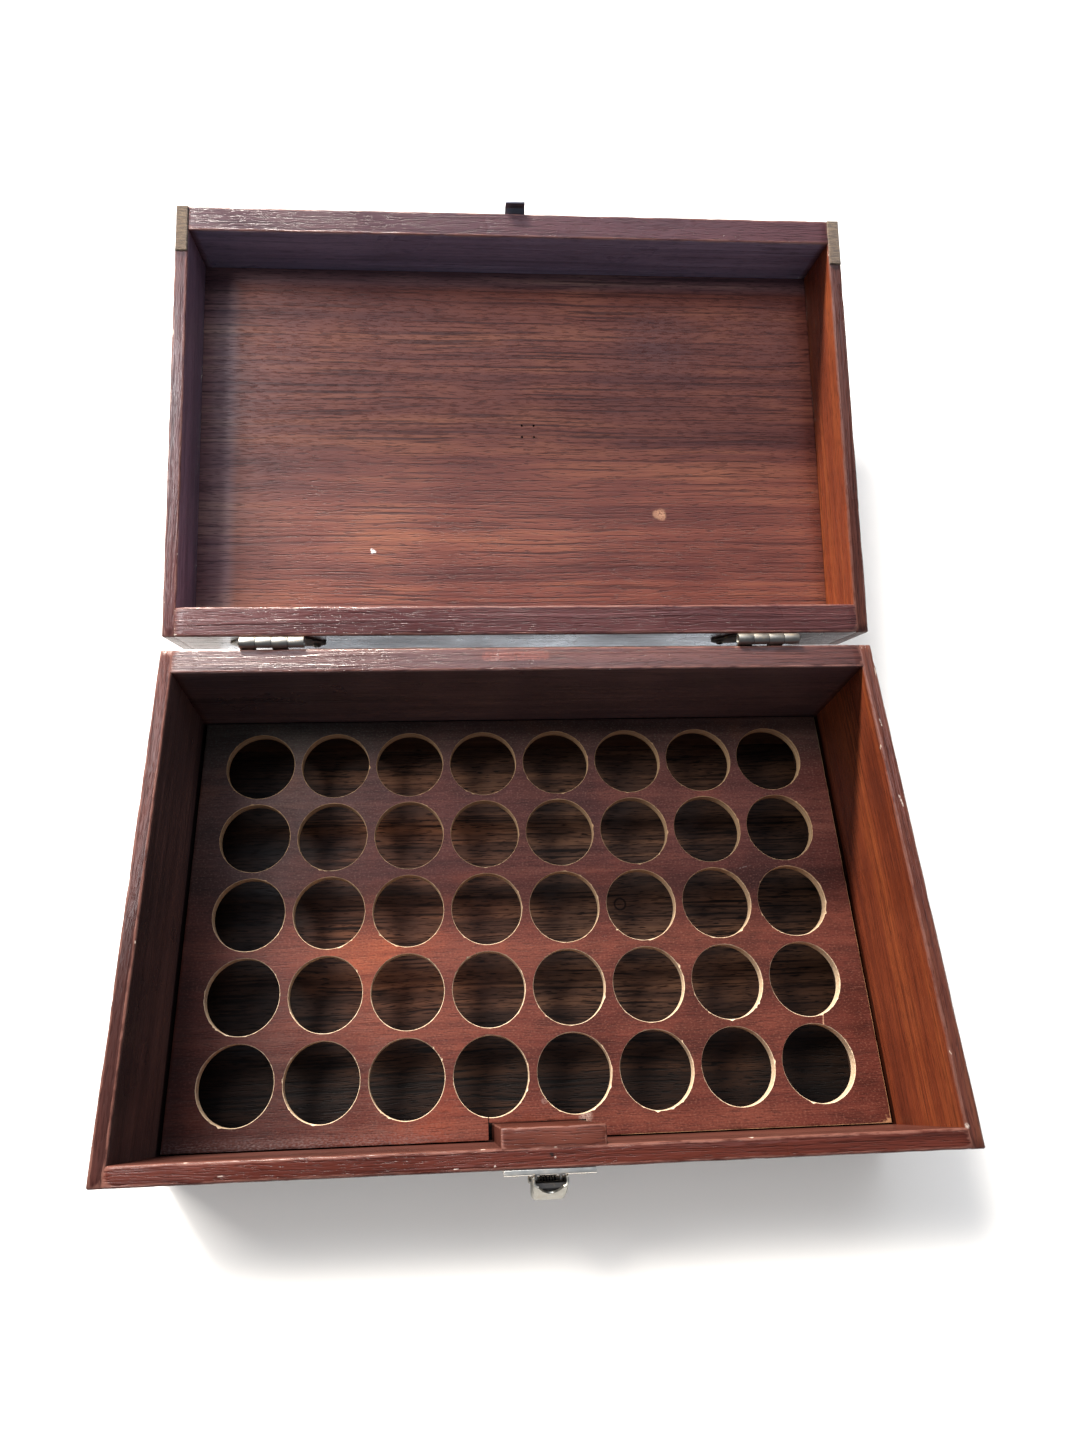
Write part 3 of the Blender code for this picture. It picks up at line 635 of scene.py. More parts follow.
def make_block():
    low, high = shut_box("latch_backing_block")
    low.y -= BURIED
    low.z -= TOUCH
    high.z += 0.00006  # just proud of the rim, so that the two tops don't share a plane
    finish = wood("block_wood", 0, BLOCK_STAIN, 11, gloss=0.36, lines=0.4, pores=0.4, shine=0.25, worn=RIM_WORN)
    mesh = board_mesh("latch_backing_block", low, high, 0, radius=0.0007, fine=0.0010, step=0.0015, wear=0.0005)
    piece("latch_backing_block_wood", mesh, [finish], "latch_backing_block")


def panel_mesh(node, comb):
    """A thin panel that reaches the walls round it."""
    low, high = shut_box(node)
    reach = Vector((TOUCH, TOUCH, 0))
    return board_mesh(node, low - reach, high + reach, 0, radius=0.0003, fine=0.0040, step=0.006, wear=0.0,
                      comb=comb)


def make_floor():
    at = level(shut_box("base_floor")[1].z)
    finish = wood("floor_wood", 0, FLOOR_STAIN, 12, gloss=0.50, lines=1.0, pores=0.9, shine=0.12, run=1.6)

    def shaded_front_and_ends(g, place):
        pale = g.band(g.size(g.axis(place, "X")), 0.060, 0.120, 1.0, 0.30)
        return g.minus(1.0, g.times(g.band(g.axis(place, "Y"), -0.075, -0.020), pale))

    def ring(g, place):
        away = g.vector("DISTANCE", place, at(0.0469, 0.0040), "Value")
        return g.band(g.size(g.minus(away, 0.0026)), 0.0003, 0.0006, 1.0, 0.0)

    # Painted shade: the floor is darker at its front and, a little less, at its ends.
    tinted(finish, (0.15, 0.14, 0.14), shaded_front_and_ends)
    # A painted pool of light left of the middle, where light falls through the holes.
    tinted(finish, (1.60, 1.32, 1.20), lambda g, place: g.near(place, at(-0.055, 0.006), 0.080))
    # Painted shade at the front right.
    tinted(finish, (0.50, 0.55, 0.60), lambda g, place: g.near(place, at(0.124, -0.072), 0.034))
    tinted(finish, (0.22, 0.20, 0.20), ring)
    piece("base_floor_wood", panel_mesh("base_floor", 0.00004), [finish], "base_floor")


def make_lid_panel():
    low, _ = shut_box("lid_panel")
    at = level(low.z)
    chip, pale = (0.75, 0.70, 0.66), (0.50, 0.26, 0.15)
    marks = [((at(-0.0686, 0.0536), at(-0.0671, 0.0546)), 0.0016, chip, 0.9),
             (at(-0.0683, 0.0549), 0.0009, chip, 0.9),
             ((at(0.0680, 0.0360), at(0.0704, 0.0372)), 0.0052, pale, 0.55),
             (at(0.0700, 0.0355), 0.0030, pale, 0.55)]
    finish = wood("lid_panel_wood", 0, PANEL_STAIN, 13, gloss=0.42, lines=0.90, pores=0.6, shine=0.28, relief=1.4,
                  marks=marks, run=2.6)

    def in_wall_shadow(g, place):
        left = g.band(g.axis(place, "X"), low.x + 0.012, low.x + 0.019, 1.0, 0.0)
        front = g.band(g.axis(place, "Y"), low.y + 0.005, low.y + 0.011, 1.0, 0.0)
        return g.times(g.band(g.axis(place, "Z"), low.z, low.z + 0.002, 1.0, 0.0), g.math("MAXIMUM", left, front))

    # A painted blue-grey shadow of the left and front walls on the panel's inner face.
    tinted(finish, (1.25, 2.10, 3.10), in_wall_shadow)
    g = Graph(finish)
    duller_outside = g.band(g.axis(g.place(), "Z"), low.z + 0.0020, low.z + 0.0030, 1.0, 1.7)
    rough = g.math("MULTIPLY", g.source("Roughness"), duller_outside, clamp=True)
    g.feed(g.shader.inputs["Roughness"], rough)
    centre, spacing = at(0.0064, -0.0054), 0.0058
    pinholes = [centre + Vector((across * spacing, along * spacing, 0))
                for across in (-0.5, 0.5) for along in (-0.5, 0.5)]
    mesh = resharpened(holed(panel_mesh("lid_panel", 0.00003), pinholes, 0.0006, Z, 0.006))
    piece("lid_panel_wood", mesh, [finish], "lid_panel")


def make_pads():
    finish = felt_cloth("felt_cloth")
    for side in ("left", "right"):
        node = f"lid_{side}_felt_pad"
        low, high = shut_box(node)
        high.z += TOUCH
        bm = bmesh.new()
        columns, rows = 22, 90
        grid = []
        for row in range(rows + 1):
            line = []
            for column in range(columns + 1):
                across, along = column / columns, row / rows
                fray = 0.00010 * noise.noise(Vector((across * 9, along * 140, low.x * 50)))
                x = low.x + (high.x - low.x) * across + fray * (abs(across - 0.5) * 2) ** 4
                y = low.y + (high.y - low.y) * along
                ribs = 0.5 + 0.5 * math.sin(y / 0.00042 * math.pi)
                border = min(across, 1 - across) * (high.x - low.x)
                border = min(border, min(along, 1 - along) * (high.y - low.y))
                crown = min(1.0, border / 0.0005) ** 0.5
                nap = noise.noise(Vector((x, y, 0)) * 2600)
                z = high.z - (high.z - low.z) * (0.35 + crown * (0.50 + 0.10 * ribs + 0.05 * nap))
                line.append(bm.verts.new((x, y, z)))
            grid.append(line)
        sheet_faces(bm, grid)
        skirt = [edge for edge in bm.edges if edge.is_boundary]
        made = bmesh.ops.extrude_edge_only(bm, edges=skirt)
        for vertex in [each for each in made["geom"] if isinstance(each, bmesh.types.BMVert)]:
            vertex.co.z = high.z
        bmesh.ops.holes_fill(bm, edges=[edge for edge in bm.edges if edge.is_boundary], sides=0)
        piece(f"lid_{side}_felt_tape", mesh_from(bm, node, math.radians(60)), [finish], node)


# ---------------------------------------------------------------- board with the holes

COLUMNS, ROWS = 8, 5
COLUMN_PITCH, ROW_PITCH, ROWS_CENTRE_Y = 0.0345, 0.0339, -0.001
HOLE_RADIUS = 0.0155
CELL_STEPS = 24


def cell_border():
    """Offsets round one hole's cell, anticlockwise, with corners at every CELL_STEPS."""
    half_x, half_y = COLUMN_PITCH / 2, ROW_PITCH / 2
    corners = [(-half_x, -half_y), (half_x, -half_y), (half_x, half_y), (-half_x, half_y)]
    border = []
    for index, corner in enumerate(corners):
        after = corners[(index + 1) % 4]
        for step in range(CELL_STEPS):
            border.append(Vector(corner).lerp(Vector(after), step / CELL_STEPS))
    return border


def add_hole(bm, centre, top, bottom):
    """One cell of the board: painted top and underside, and the bare wall of the hole with its torn edge."""
    loops = [[] for _ in range(10)]
    for offset in cell_border():
        way = offset.normalized()
        ripple = Vector((way.x * 3, way.y * 3, 0)) + Vector((centre.x, centre.y, 0)) * 97
        torn = max(0.0, noise.noise(ripple * 2.6)) * 0.00022 + max(0.0, noise.noise(ripple * 7) - 0.42) * 0.0022
        lip = 0.00016 + torn
        fuzz = 0.00005 * noise.noise(ripple * 9)
        halfway = offset.lerp(way * (HOLE_RADIUS + 0.0006), 0.55)
        wall = [(lip, top), (fuzz, top - 0.00018 - torn * 0.7), (-fuzz, (top * 2 + bottom) / 3),
                (fuzz, (top + bottom * 2) / 3), (0, bottom + 0.0002), (0.0002, bottom)]
        steps = [(offset, top), (halfway, top), *((way * (HOLE_RADIUS + reach), z) for reach, z in wall),
                 (halfway, bottom), (offset, bottom)]
        for loop, (flat, z) in zip(loops, steps):
            loop.append(bm.verts.new((centre.x + flat.x, centre.y + flat.y, z)))
    for index, (first, second) in enumerate(zip(loops, loops[1:])):
        for face in ring_faces(bm, first, second):
            face.material_index = 1 if 2 <= index <= 6 else 0


def axis_values(low, high, block_low, count, pitch, extra):
    """The board's grid lines along one axis: its edge, the margin, and the border points of the cells."""
    cells = [block_low + pitch * step / CELL_STEPS for step in range(count * CELL_STEPS + 1)]
    fringe = 0.0004
    return [low, low + fringe, low + 3 * fringe, *extra, *cells, high - 3 * fringe, high - fringe, high]


def make_board():
    low, high = shut_box("hole_board")
    block_high = shut_box("latch_backing_block")[1]
    notch_left, notch_right, notch_back = -0.0190, block_high.x + 0.0005, block_high.y + 0.0005
    saw_cut = 0.0004
    bm = bmesh.new()
    bare_layer = bm.verts.layers.float.new("bare")
    for row in range(ROWS):
        for column in range(COLUMNS):
            centre = Vector(((column - (COLUMNS - 1) / 2) * COLUMN_PITCH,
                             ROWS_CENTRE_Y + ((ROWS - 1) / 2 - row) * ROW_PITCH))
            add_hole(bm, centre, high.z, low.z)
    cells_x = -COLUMNS / 2 * COLUMN_PITCH
    cells_y = ROWS_CENTRE_Y - ROWS / 2 * ROW_PITCH
    xs = axis_values(low.x, high.x, cells_x, COLUMNS, COLUMN_PITCH, [])
    ys = axis_values(low.y, high.y, cells_y, ROWS, ROW_PITCH, [notch_back])
    first_x, last_x = xs.index(cells_x), len(xs) - 4
    first_y, last_y = ys.index(cells_y), len(ys) - 4
    left = min(range(len(xs)), key=lambda index: abs(xs[index] - notch_left))
    right = min(range(len(xs)), key=lambda index: abs(xs[index] - notch_right))
    notch_row = ys.index(notch_back)

    def corner(i, j, height):
        x = xs[i]
        if j <= notch_row:
            x = notch_left if i == left else notch_right if i == right else x
        fringe = i in (0, len(xs) - 1) or j in (0, len(ys) - 1)
        fringe = fringe or (j == notch_row and left <= i <= right) or (j <= notch_row and i in (left, right))
        drop = 0.0
        if fringe:
            drop = 0.00008 + 0.00030 * max(0.0, noise.noise(Vector((x * 160, ys[j] * 160, 3.0))))
        vertex = bm.verts.new((x, ys[j], height - drop if height == high.z else height))
        forward = max(0.0, 1 - (ys[j] - low.y) / 0.0004) * 0.75
        rightward = min(1.0, max(0.0, (x - notch_right) / 0.02))
        side = max(0.0, 1 - (high.x - x) / 0.0004) * 0.75
        worn_corner = max(0.0, 1 - (Vector((x, ys[j])) - Vector((high.x, low.y))).length / 0.0035)
        vertex[bare_layer] = max(forward * rightward, side, worn_corner) if height == high.z else 0.0
        return vertex

    for height in (high.z, low.z):
        for i in range(len(xs) - 1):
            for j in range(len(ys) - 1):
                in_cells = first_x <= i < last_x and first_y <= j < last_y
                in_notch = left <= i < right and j < notch_row
                if in_cells or in_notch:
                    continue
                bm.faces.new((corner(i, j, height), corner(i + 1, j, height),
                              corner(i + 1, j + 1, height), corner(i, j + 1, height)))
    bmesh.ops.remove_doubles(bm, verts=bm.verts, dist=0.00001)
    rim = [edge for edge in bm.edges if edge.is_boundary]
    under = {(round(v.co.x, 5), round(v.co.y, 5)): v for edge in rim for v in edge.verts if v.co.z < high.z - 0.002}
    for edge in rim:
        first, second = edge.verts
        if first.co.z > high.z - 0.002:
            below = [under[(round(v.co.x, 5), round(v.co.y, 5))] for v in (second, first)]
            bm.faces.new((first, second, *below)).material_index = 1
    mesh = mesh_from(bm, "hole_board")
    cut_back = notch_back + 0.004
    tool = box_tool("saw", (notch_left, notch_back - 0.001, low.z - 0.002),
                    (notch_left + saw_cut, cut_back, high.z + 0.002))
    mesh = resharpened(combined(mesh, [tool], "DIFFERENCE"))
    at = level(high.z)
    marks = [(at(0.0206, -0.0850), 0.0036, (0.48, 0.38, 0.34), 0.7),
             ((at(0.1262, -0.0488), at(0.1253, -0.0560)), 0.0007, (0.55, 0.36, 0.24), 0.9),
             ((at(0.0990, 0.0140), at(0.1040, 0.0152)), 0.0006, (0.40, 0.30, 0.26), 0.5),
             ((at(0.0040, -0.0790), at(0.0085, -0.0765)), 0.0030, (0.36, 0.26, 0.24), 0.4)]
    finishes = [board_paint(low, at, marks), bare_ply("board_ply", low.z, high.z - low.z)]
    piece("hole_board_ply", mesh, finishes, "hole_board")


def board_paint(low, at, marks):
    """The board's red-brown paint: blotchy and flecked, hazy at the front left, and worn to ply where the mesh says
    bare.
    Painted shade darkens its front-left corner, its front and its back left, a painted blue-grey shade tone greys its
    back, and a painted pool of light brightens a patch left of the middle."""
    material = wood("board_wood", 0, BOARD_STAIN, 14, gloss=0.48, lines=0.25, pores=0.4, shine=0.18, relief=0.7,
                    marks=marks)
    g = Graph(material)
    place = g.place()
    across, backward = g.axis(place, "X"), g.axis(place, "Y")
    blotches = g.noise(g.stretch(place, (16, 24, 16)), detail=5.0, roughness=0.62)
    paint = g.tint(g.band(blotches, 0.50, 0.64), g.source(), (0.66, 0.66, 0.66))
    paint = g.tint(g.band(blotches, 0.46, 0.34), paint, (1.34, 1.22, 1.05))
    flecks = g.noise(g.stretch(place, (1000, 1500, 1000)), detail=3.0, roughness=0.6)
    paint = g.mix(g.band(flecks, 0.54, 0.66, 0.0, 0.45), paint, (0.21, 0.095, 0.068))
    paint = g.mix(g.band(flecks, 0.46, 0.34, 0.0, 0.45), paint, (0.036, 0.012, 0.009))
    haze = g.band(g.noise(g.stretch(place, (90, 260, 1)), detail=5.0, roughness=0.7), 0.42, 0.66)
    front_left = g.near(place, at(low.x + 0.045, low.y + 0.004), 0.085)
    paint = g.mix(g.times(haze, g.times(front_left, 0.10)), paint, (0.30, 0.22, 0.20))
    # Painted shade at the front-left corner.
    paint = g.tint(g.near(place, at(low.x, low.y), 0.105), paint, (0.50, 0.50, 0.52))
    # Painted shade towards the front.
    paint = g.tint(g.band(backward, -0.015, 0.030, 1.0, 0.0), paint, (0.86, 0.74, 0.66))
    specks = g.band(g.noise(g.stretch(place, (900, 1900, 900))), 0.40, 0.70)
    front_edge = g.times(g.band(backward, low.y + 0.001, low.y + 0.006, 1.0, 0.0),
                         g.band(across, -0.060, -0.020, 1.0, 0.0))
    paint = g.mix(g.times(specks, g.times(front_edge, 0.22)), paint, (0.26, 0.20, 0.19))
    ragged = g.minus(g.noise(g.stretch(place, (700, 900, 900)), detail=3.0), 0.5)
    bare = g.band(g.plus_times(ragged, 0.8, g.attribute("bare")), 0.35, 0.60)
    paint = g.mix(bare, paint, (0.34, 0.17, 0.085))
    # A painted blue-grey shade tone at the back.
    paint = g.tint(g.band(backward, 0.055, 0.085), paint, (0.95, 1.70, 1.80))
    # A painted pool of light left of the middle.
    paint = g.tint(g.near(place, at(-0.068, -0.016), 0.032), paint, (1.40, 1.36, 1.10))
    # Painted shade at the back left.
    paint = g.tint(g.near(place, at(-0.145, 0.080), 0.120), paint, (0.66, 0.95, 0.98))
    g.feed(g.shader.inputs["Base Color"], paint)
    return material


def make_battens():
    finish = wood("batten_wood", 0, BATTEN_STAIN, 15, gloss=0.6, shine=0.15)
    for name in ("left", "right", "back", "front_left", "front_right"):
        node = f"batten_{name}"
        along = 1 if name in ("left", "right") else 0
        mesh = board_mesh(node, *shut_box(node), along, radius=0.0006, fine=0.0020, step=0.006)
        piece(f"{node}_sawn", mesh, [finish], node)


# ---------------------------------------------------------------- hinges

PROUD = 0.00002  # how far a metal plate lies off the wood
SCREW_HOLE = 0.0011
LEAF = 0.0008
ROLL_RADIUS = 0.0020
BARREL_LENGTH = 0.0274
KNUCKLE_PLAY = 0.00007


def screw_places(nodes, y):
    """Where the axes of screws meet a plane of constant Y."""
    return [Vector(((low.x + high.x) / 2, y, (low.z + high.z) / 2)) for low, high in map(shut_box, nodes)]


def leaf_outline(x, hinge_z, way):
    """A butterfly leaf seen from behind: narrow at the barrel and flared at its end."""
    half_neck, half_flare, height = BARREL_LENGTH / 2, 0.0210, 0.0225
    right = [(half_neck, 0.0028), (half_flare * 0.86, 0.0105), (half_flare * 0.97, 0.0130), (half_flare, 0.0150),
             (half_flare * 0.985, 0.0175), (half_flare * 0.93, 0.0195), (half_flare * 0.84, 0.0214),
             (half_flare * 0.72, height), (half_flare * 0.45, 0.0212), (half_flare * 0.20, 0.0202)]
    outline = [(x + across, hinge_z + way * up) for across, up in right]
    return outline + [(x - across, hinge_z + way * up) for across, up in reversed(right)]


def rolled_knuckle(name, start, end, way, centre):
    """Sheet that runs up the leaf and rolls round the pin."""
    wrap = [(centre.y - ROLL_RADIUS, centre.z + way * 0.0040)]
    wrap += [(centre.y + ROLL_RADIUS * math.cos(math.radians(angle)),
              centre.z - way * ROLL_RADIUS * math.sin(math.radians(angle)))
             for angle in range(180, -164, -8)]
    return extruded(name, strip(wrap, LEAF), YZ, start, end, 0.00010)


def make_leaf(side, half, indices, finishes):
    """One leaf with the knuckles of the given indices, counted from the left."""
    node = f"{side}_hinge_{half}_leaf"
    pin_low, pin_high = shut_box(f"{side}_hinge_pin")
    centre = (pin_low + pin_high) / 2
    way = 1 if half == "lid" else -1
    near = shut_box("base_back_wall")[1].y + PROUD
    leaf = extruded(node, leaf_outline(centre.x, centre.z, way), XZ, -near - LEAF, -near, 0.00015)
    length = BARREL_LENGTH / 4
    starts = [centre.x - BARREL_LENGTH / 2 + index * length for index in indices]
    rolls = [rolled_knuckle(f"{node}_roll", start + KNUCKLE_PLAY, start + length - KNUCKLE_PLAY, way, centre)
             for start in starts]
    places = screw_places([f"{side}_hinge_{half}_screw_{which}" for which in ("inner", "outer")], near)
    mesh = resharpened(holed(combined(leaf, rolls, "UNION"), places, SCREW_HOLE, Y))
    for face in mesh.polygons:
        away = Vector((face.center.y - centre.y, face.center.z - centre.z)).length
        # The leaf beyond its roll takes the near-black plate: painted shade.
        face.material_index = 1 if away > ROLL_RADIUS + LEAF else 0
    piece(f"{node}_rolled", mesh, finishes, node)


def make_hinges(finish, painted_shade_plate):
    for side in ("left", "right"):
        make_leaf(side, "base", (0, 2), [finish, painted_shade_plate])
        make_leaf(side, "lid", (1, 3), [finish, painted_shade_plate])
        node = f"{side}_hinge_pin"
        low, high = shut_box(node)
        centre, radius, reach = (low + high) / 2, (high.z - low.z) / 2, (high.x - low.x) / 2
        dome = [(0, reach), (radius * 0.6, reach - radius * 0.12), (radius, reach - radius * 0.5)]
        profile = [(out, -along) for out, along in dome] + dome[::-1]
        piece(f"{node}_turned", lathe(node, profile, centre, X), [finish], node)


HEAD_HEIGHT = 0.0011


def screw_mesh():
    """A round-head screw with a slot, its head's seat at the origin and its head towards +Z."""
    head = [(0, HEAD_HEIGHT)] + [(0.0019 * math.sin(math.radians(angle)), HEAD_HEIGHT * math.cos(math.radians(angle)))
                                 for angle in range(12, 84, 12)]
    head += [(0.00190, 0.00008), (0.00184, 0), (0.0008, 0), (0.0008, -0.0045), (0, -0.0060)]
    mesh = lathe("screw", head[::-1], Vector((0, 0, 0)), Z, 40)
    slot = box_tool("slot", (-0.003, -0.00022, 0.00055), (0.003, 0.00022, 0.002))
    return resharpened(combined(mesh, [slot], "DIFFERENCE"))


def make_screws(finish):
    template = screw_mesh()
    names = [f"{side}_hinge_{half}_screw_{end}" for side in ("left", "right") for half in ("base", "lid")
             for end in ("inner", "outer")]
    names += [f"latch_screw_{number}" for number in (1, 2, 3, 4)]
    names += [f"strike_screw_{number}" for number in (1, 2)]
    for index, node in enumerate(names):
        low, high = shut_box(node)
        behind = low.y > 0
        seat_y = high.y - HEAD_HEIGHT - TOUCH if behind else low.y + HEAD_HEIGHT + TOUCH
        seat, = screw_places([node], seat_y)
        tilt = Matrix.Rotation(math.radians(-90 if behind else 90), 4, "X")
        spin = Matrix.Rotation(math.radians(37 * index), 4, "Z")
        mesh = template.copy()
        mesh.transform(Matrix.Translation(seat) @ tilt @ spin)
        piece(f"{node}_slotted", mesh, [finish], node)


# ---------------------------------------------------------------- latch


def make_latch_plate(finish):
    """A pressed plate with rounded lower corners, a folded top edge and two ears for the lever's pin."""
    low, high = shut_box("latch_plate")
    wall_y = shut_box("base_front_wall")[0].y
    back, front = wall_y - PROUD, wall_y - 0.0010
    corner, lip, bend = 0.0025, 0.0018, 0.0006
    outline = [(low.x, high.z), *arc((low.x + corner, low.z + corner), corner, 180, 270, 8),
               *arc((high.x - corner, low.z + corner), corner, 270, 360, 8), (high.x, high.z)]
    plate = extruded("latch_plate", outline, XZ, -back, -front, 0.00014)
    fold = [(back, high.z - 0.0030), (back - lip, high.z - 0.0030),
            *arc((back - lip + bend, high.z - bend), bend, 180, 90, 5), (back, high.z)]
    hem = extruded("latch_hem", fold, YZ, low.x, high.x, 0.00016)
    hem_slit = box_tool("hem_slit", (low.x - 0.001, back - 0.00115, high.z - 0.004),
                        (high.x + 0.001, back - 0.00090, high.z - 0.0006))
    ear = [(back, PIVOT.z - 0.0026), *arc((PIVOT.y, PIVOT.z), 0.0019, 290, 70, 14), (back, PIVOT.z + 0.0026)]
    ears = [extruded("latch_ear", ear, YZ, near, far, 0.00012) for near, far in ((-0.0049, -0.0040), (0.0040, 0.0049))]
    mesh = combined(combined(plate, [hem, *ears], "UNION"), [hem_slit], "DIFFERENCE")
    mesh = holed(mesh, screw_places([f"latch_screw_{number}" for number in (1, 2, 3, 4)], back), SCREW_HOLE, Y)
    mesh = holed(mesh, [Vector((0, PIVOT.y, PIVOT.z))], 0.00105, X, 0.0055)
    piece("latch_plate_pressed", resharpened(mesh), [finish], "latch_plate")


def make_lever(finish, shade):
    """A channel pressed from one sheet: two cheeks, rounded bends, a scooped front and a web inside.

    shade is the finish of its inside and of its web: a near-black plate, painted shade."""
    low, high = shut_box("latch_lever")
    sheet, bend, levels = 0.0008, 0.0016, 22
    half = high.x - sheet / 2
    half_face = half - bend
    top, bottom = high.z - 0.0003, low.z + 0.0002
    cheek_back, straight_above = -0.1024, PIVOT.z + 0.003
    top_y, lean, bulge, scoop = -0.1054, 0.0046, 0.0005, 0.0046

    def front_y(z):
        """The outside of the face at a height: it leans outward and bulges a little."""
        share = (top - z) / (top - bottom)
        return top_y - lean * share - bulge * math.sin(share * math.pi)

    def column(kind, value, side):
        """The vertices of one column, from the top down. The columns run from the back edge of one cheek over
        its bend to the middle of the face, and back on the other side."""
        x, upper, lowest = -half * side, top, bottom
        if kind == "face":
            x = -half_face * (1 - value) * side
            upper = top - scoop * math.cos(math.pi / 2 * min(1.0, abs(x) / half_face)) ** 0.8
            lowest = bottom + max(0.0, abs(x) - (half_face - 0.001)) * 0.3
        elif kind == "bend":
            angle = math.radians(90 * value)
            x = (-half + bend - bend * math.cos(angle)) * side
        made = []
        for step in range(levels + 1):
            z = upper + (lowest - upper) * (step / levels)
            y = front_y(z)
            if kind == "bend":
                y = y + bend - bend * math.sin(angle)
            elif kind == "cheek":
                back_edge = cheek_back if z > straight_above else cheek_back - (straight_above - z) * 0.35
                y = back_edge + (y + bend - back_edge) * value
            made.append(bm.verts.new((x, y, z)))
        return made

    plan = [("cheek", step / 4) for step in range(4)] + [("bend", step / 8) for step in range(9)]
    plan += [("face", step / 20) for step in range(1, 21)]
    bm = bmesh.new()
    grid = [column(*place, 1) for place in plan] + [column(*place, -1) for place in plan[-2::-1]]
    sheet_faces(bm, grid)
    bmesh.ops.remove_doubles(bm, verts=bm.verts, dist=0.000005)
    shell = loose(mesh_from(bm, "latch_lever"))
    solid = shell.modifiers.new("sheet", "SOLIDIFY")
    solid.thickness = sheet
    solid.offset = 0.0
    solid.use_even_offset = True
    solid.material_offset = 1
    bevel = shell.modifiers.new("rounded", "BEVEL")
    bevel.width = 0.00012
    bevel.segments = 2
    bevel.limit_method = "ANGLE"
    bevel.angle_limit = math.radians(50)
    web_top = bottom + 0.0080
    web_front = front_y(web_top)
    line = [(web_front + sheet * 0.4, web_top), (web_front + 0.0016, web_top + 0.0004),
            (web_front + 0.0030, web_top + 0.0002), (web_front + 0.0036, web_top - 0.0006)]
    web = extruded("latch_web", strip(line, 0.0006), YZ, -half, half, 0.00010)
    # The web takes the near-black inside plate: painted shade.
    for face in web.polygons:
        face.material_index = 1
    # The materials come before the modifiers are applied, because the inside of the sheet gets its own.
    for mesh in (shell.data, web):
        mesh.materials.append(finish)
        mesh.materials.append(shade)
    bpy.context.view_layer.update()
    mesh = resharpened(combined(baked(shell), [web], "UNION"))
    piece("latch_lever_pressed", mesh, [], "latch_lever")


def make_latch_pin(finish):
    low, high = shut_box("latch_pin")
    radius, head, half = 0.0008, (high.z - low.z) / 2, (high.x - low.x) / 2
    side = [(0, -half), (head * 0.7, -half + 0.00010), (head, -half + 0.00035), (head, -half + 0.0006),
            (radius, -half + 0.0007)]
    profile = side + [(out, -along) for out, along in reversed(side)]
    mesh = lathe("latch_pin", profile, Vector((0, PIVOT.y, PIVOT.z)), X)
    piece("latch_pin_riveted", mesh, [finish], "latch_pin")


def make_spring(finish):
    """A torsion spring, wound on the pin from round wire."""
    radius, half_length, turns, steps = 0.00155, 0.0030, 6, 24
    curve = bpy.data.curves.new("latch_spring", "CURVE")
    curve.dimensions = "3D"
    curve.bevel_depth = 0.00025
    curve.bevel_resolution = 3
    curve.use_fill_caps = True
    spline = curve.splines.new("POLY")
    spline.points.add(turns * steps)
    for index, point in enumerate(spline.points):
        angle = 2 * math.pi * index / steps
        along = -half_length + 2 * half_length * index / (turns * steps)
        point.co = (along, PIVOT.y + radius * math.cos(angle), PIVOT.z + radius * math.sin(angle), 1)
    coil = loose(curve)
    bpy.context.view_layer.update()
    piece("latch_spring_wire", resharpened(baked(coil)), [finish], "latch_spring")


def make_strike(finish):
    """A screwed plate whose tongue bends forward and down behind the lever."""
    wall, high = shut_box("lid_front_wall")[0], shut_box("lid_strike")[1]
    back, lid_bottom, half, top = wall.y - PROUD, wall.z, high.x, high.z
    corner, wide, narrow, tip, hang_y = 0.0022, 0.0047, 0.0044, 0.0834, -0.1036
    plate_low = lid_bottom + 0.003
    outline = [(-wide, plate_low), (wide, plate_low), (half, plate_low + 0.0030),
               *arc((half - corner, top - corner), corner, 0, 90, 8),
               *arc((-half + corner, top - corner), corner, 90, 180, 8), (-half, plate_low + 0.0030)]
    plate = extruded("lid_strike", outline, XZ, -back, -back + 0.0008, 0.00014)
    middle = back - 0.0004
    line = [(middle, plate_low + 0.0016), (middle, plate_low + 0.0002), (middle - 0.0006, plate_low - 0.0006),
            (hang_y + 0.0006, lid_bottom + 0.0012), (hang_y, lid_bottom), (hang_y, tip)]
    tongue = extruded("tongue", strip(line, 0.0009), YZ, -wide, wide, 0.00018)
    for vertex in tongue.vertices:
        drop = max(0.0, plate_low - vertex.co.z)
        vertex.co.x *= 1 - (1 - narrow / wide) * drop / (plate_low - tip)
    places = screw_places(["strike_screw_1", "strike_screw_2"], back)
    mesh = resharpened(holed(combined(plate, [tongue], "UNION"), places, SCREW_HOLE, Y))
    piece("lid_strike_pressed", mesh, [finish], "lid_strike")


# ---------------------------------------------------------------- stage


def make_camera():
    data = bpy.data.cameras.new("camera")
    data.sensor_width = 36.0
    data.lens = 22.81
    data.shift_x, data.shift_y = 0.0218, -0.0309
    data.clip_start = 0.01
    camera = linked("camera", data)
    camera.location = (-0.0335, -0.0781, 0.4375)
    camera.rotation_euler = [math.radians(angle) for angle in (25.147, -3.228, -2.131)]
    bpy.context.scene.camera = camera


def area_light(name, location, aim, size, power, colour):
    data = bpy.data.lights.new(name, "AREA")
    data.shape = "RECTANGLE"
    data.size, data.size_y = size
    data.energy = power
    data.color = colour
    light = linked(name, data)
    light.location = location
    light.rotation_mode = "QUATERNION"
    light.visible_camera = False
    light.rotation_quaternion = (Vector(location) - Vector(aim)).to_track_quat("Z", "Y")
    return light


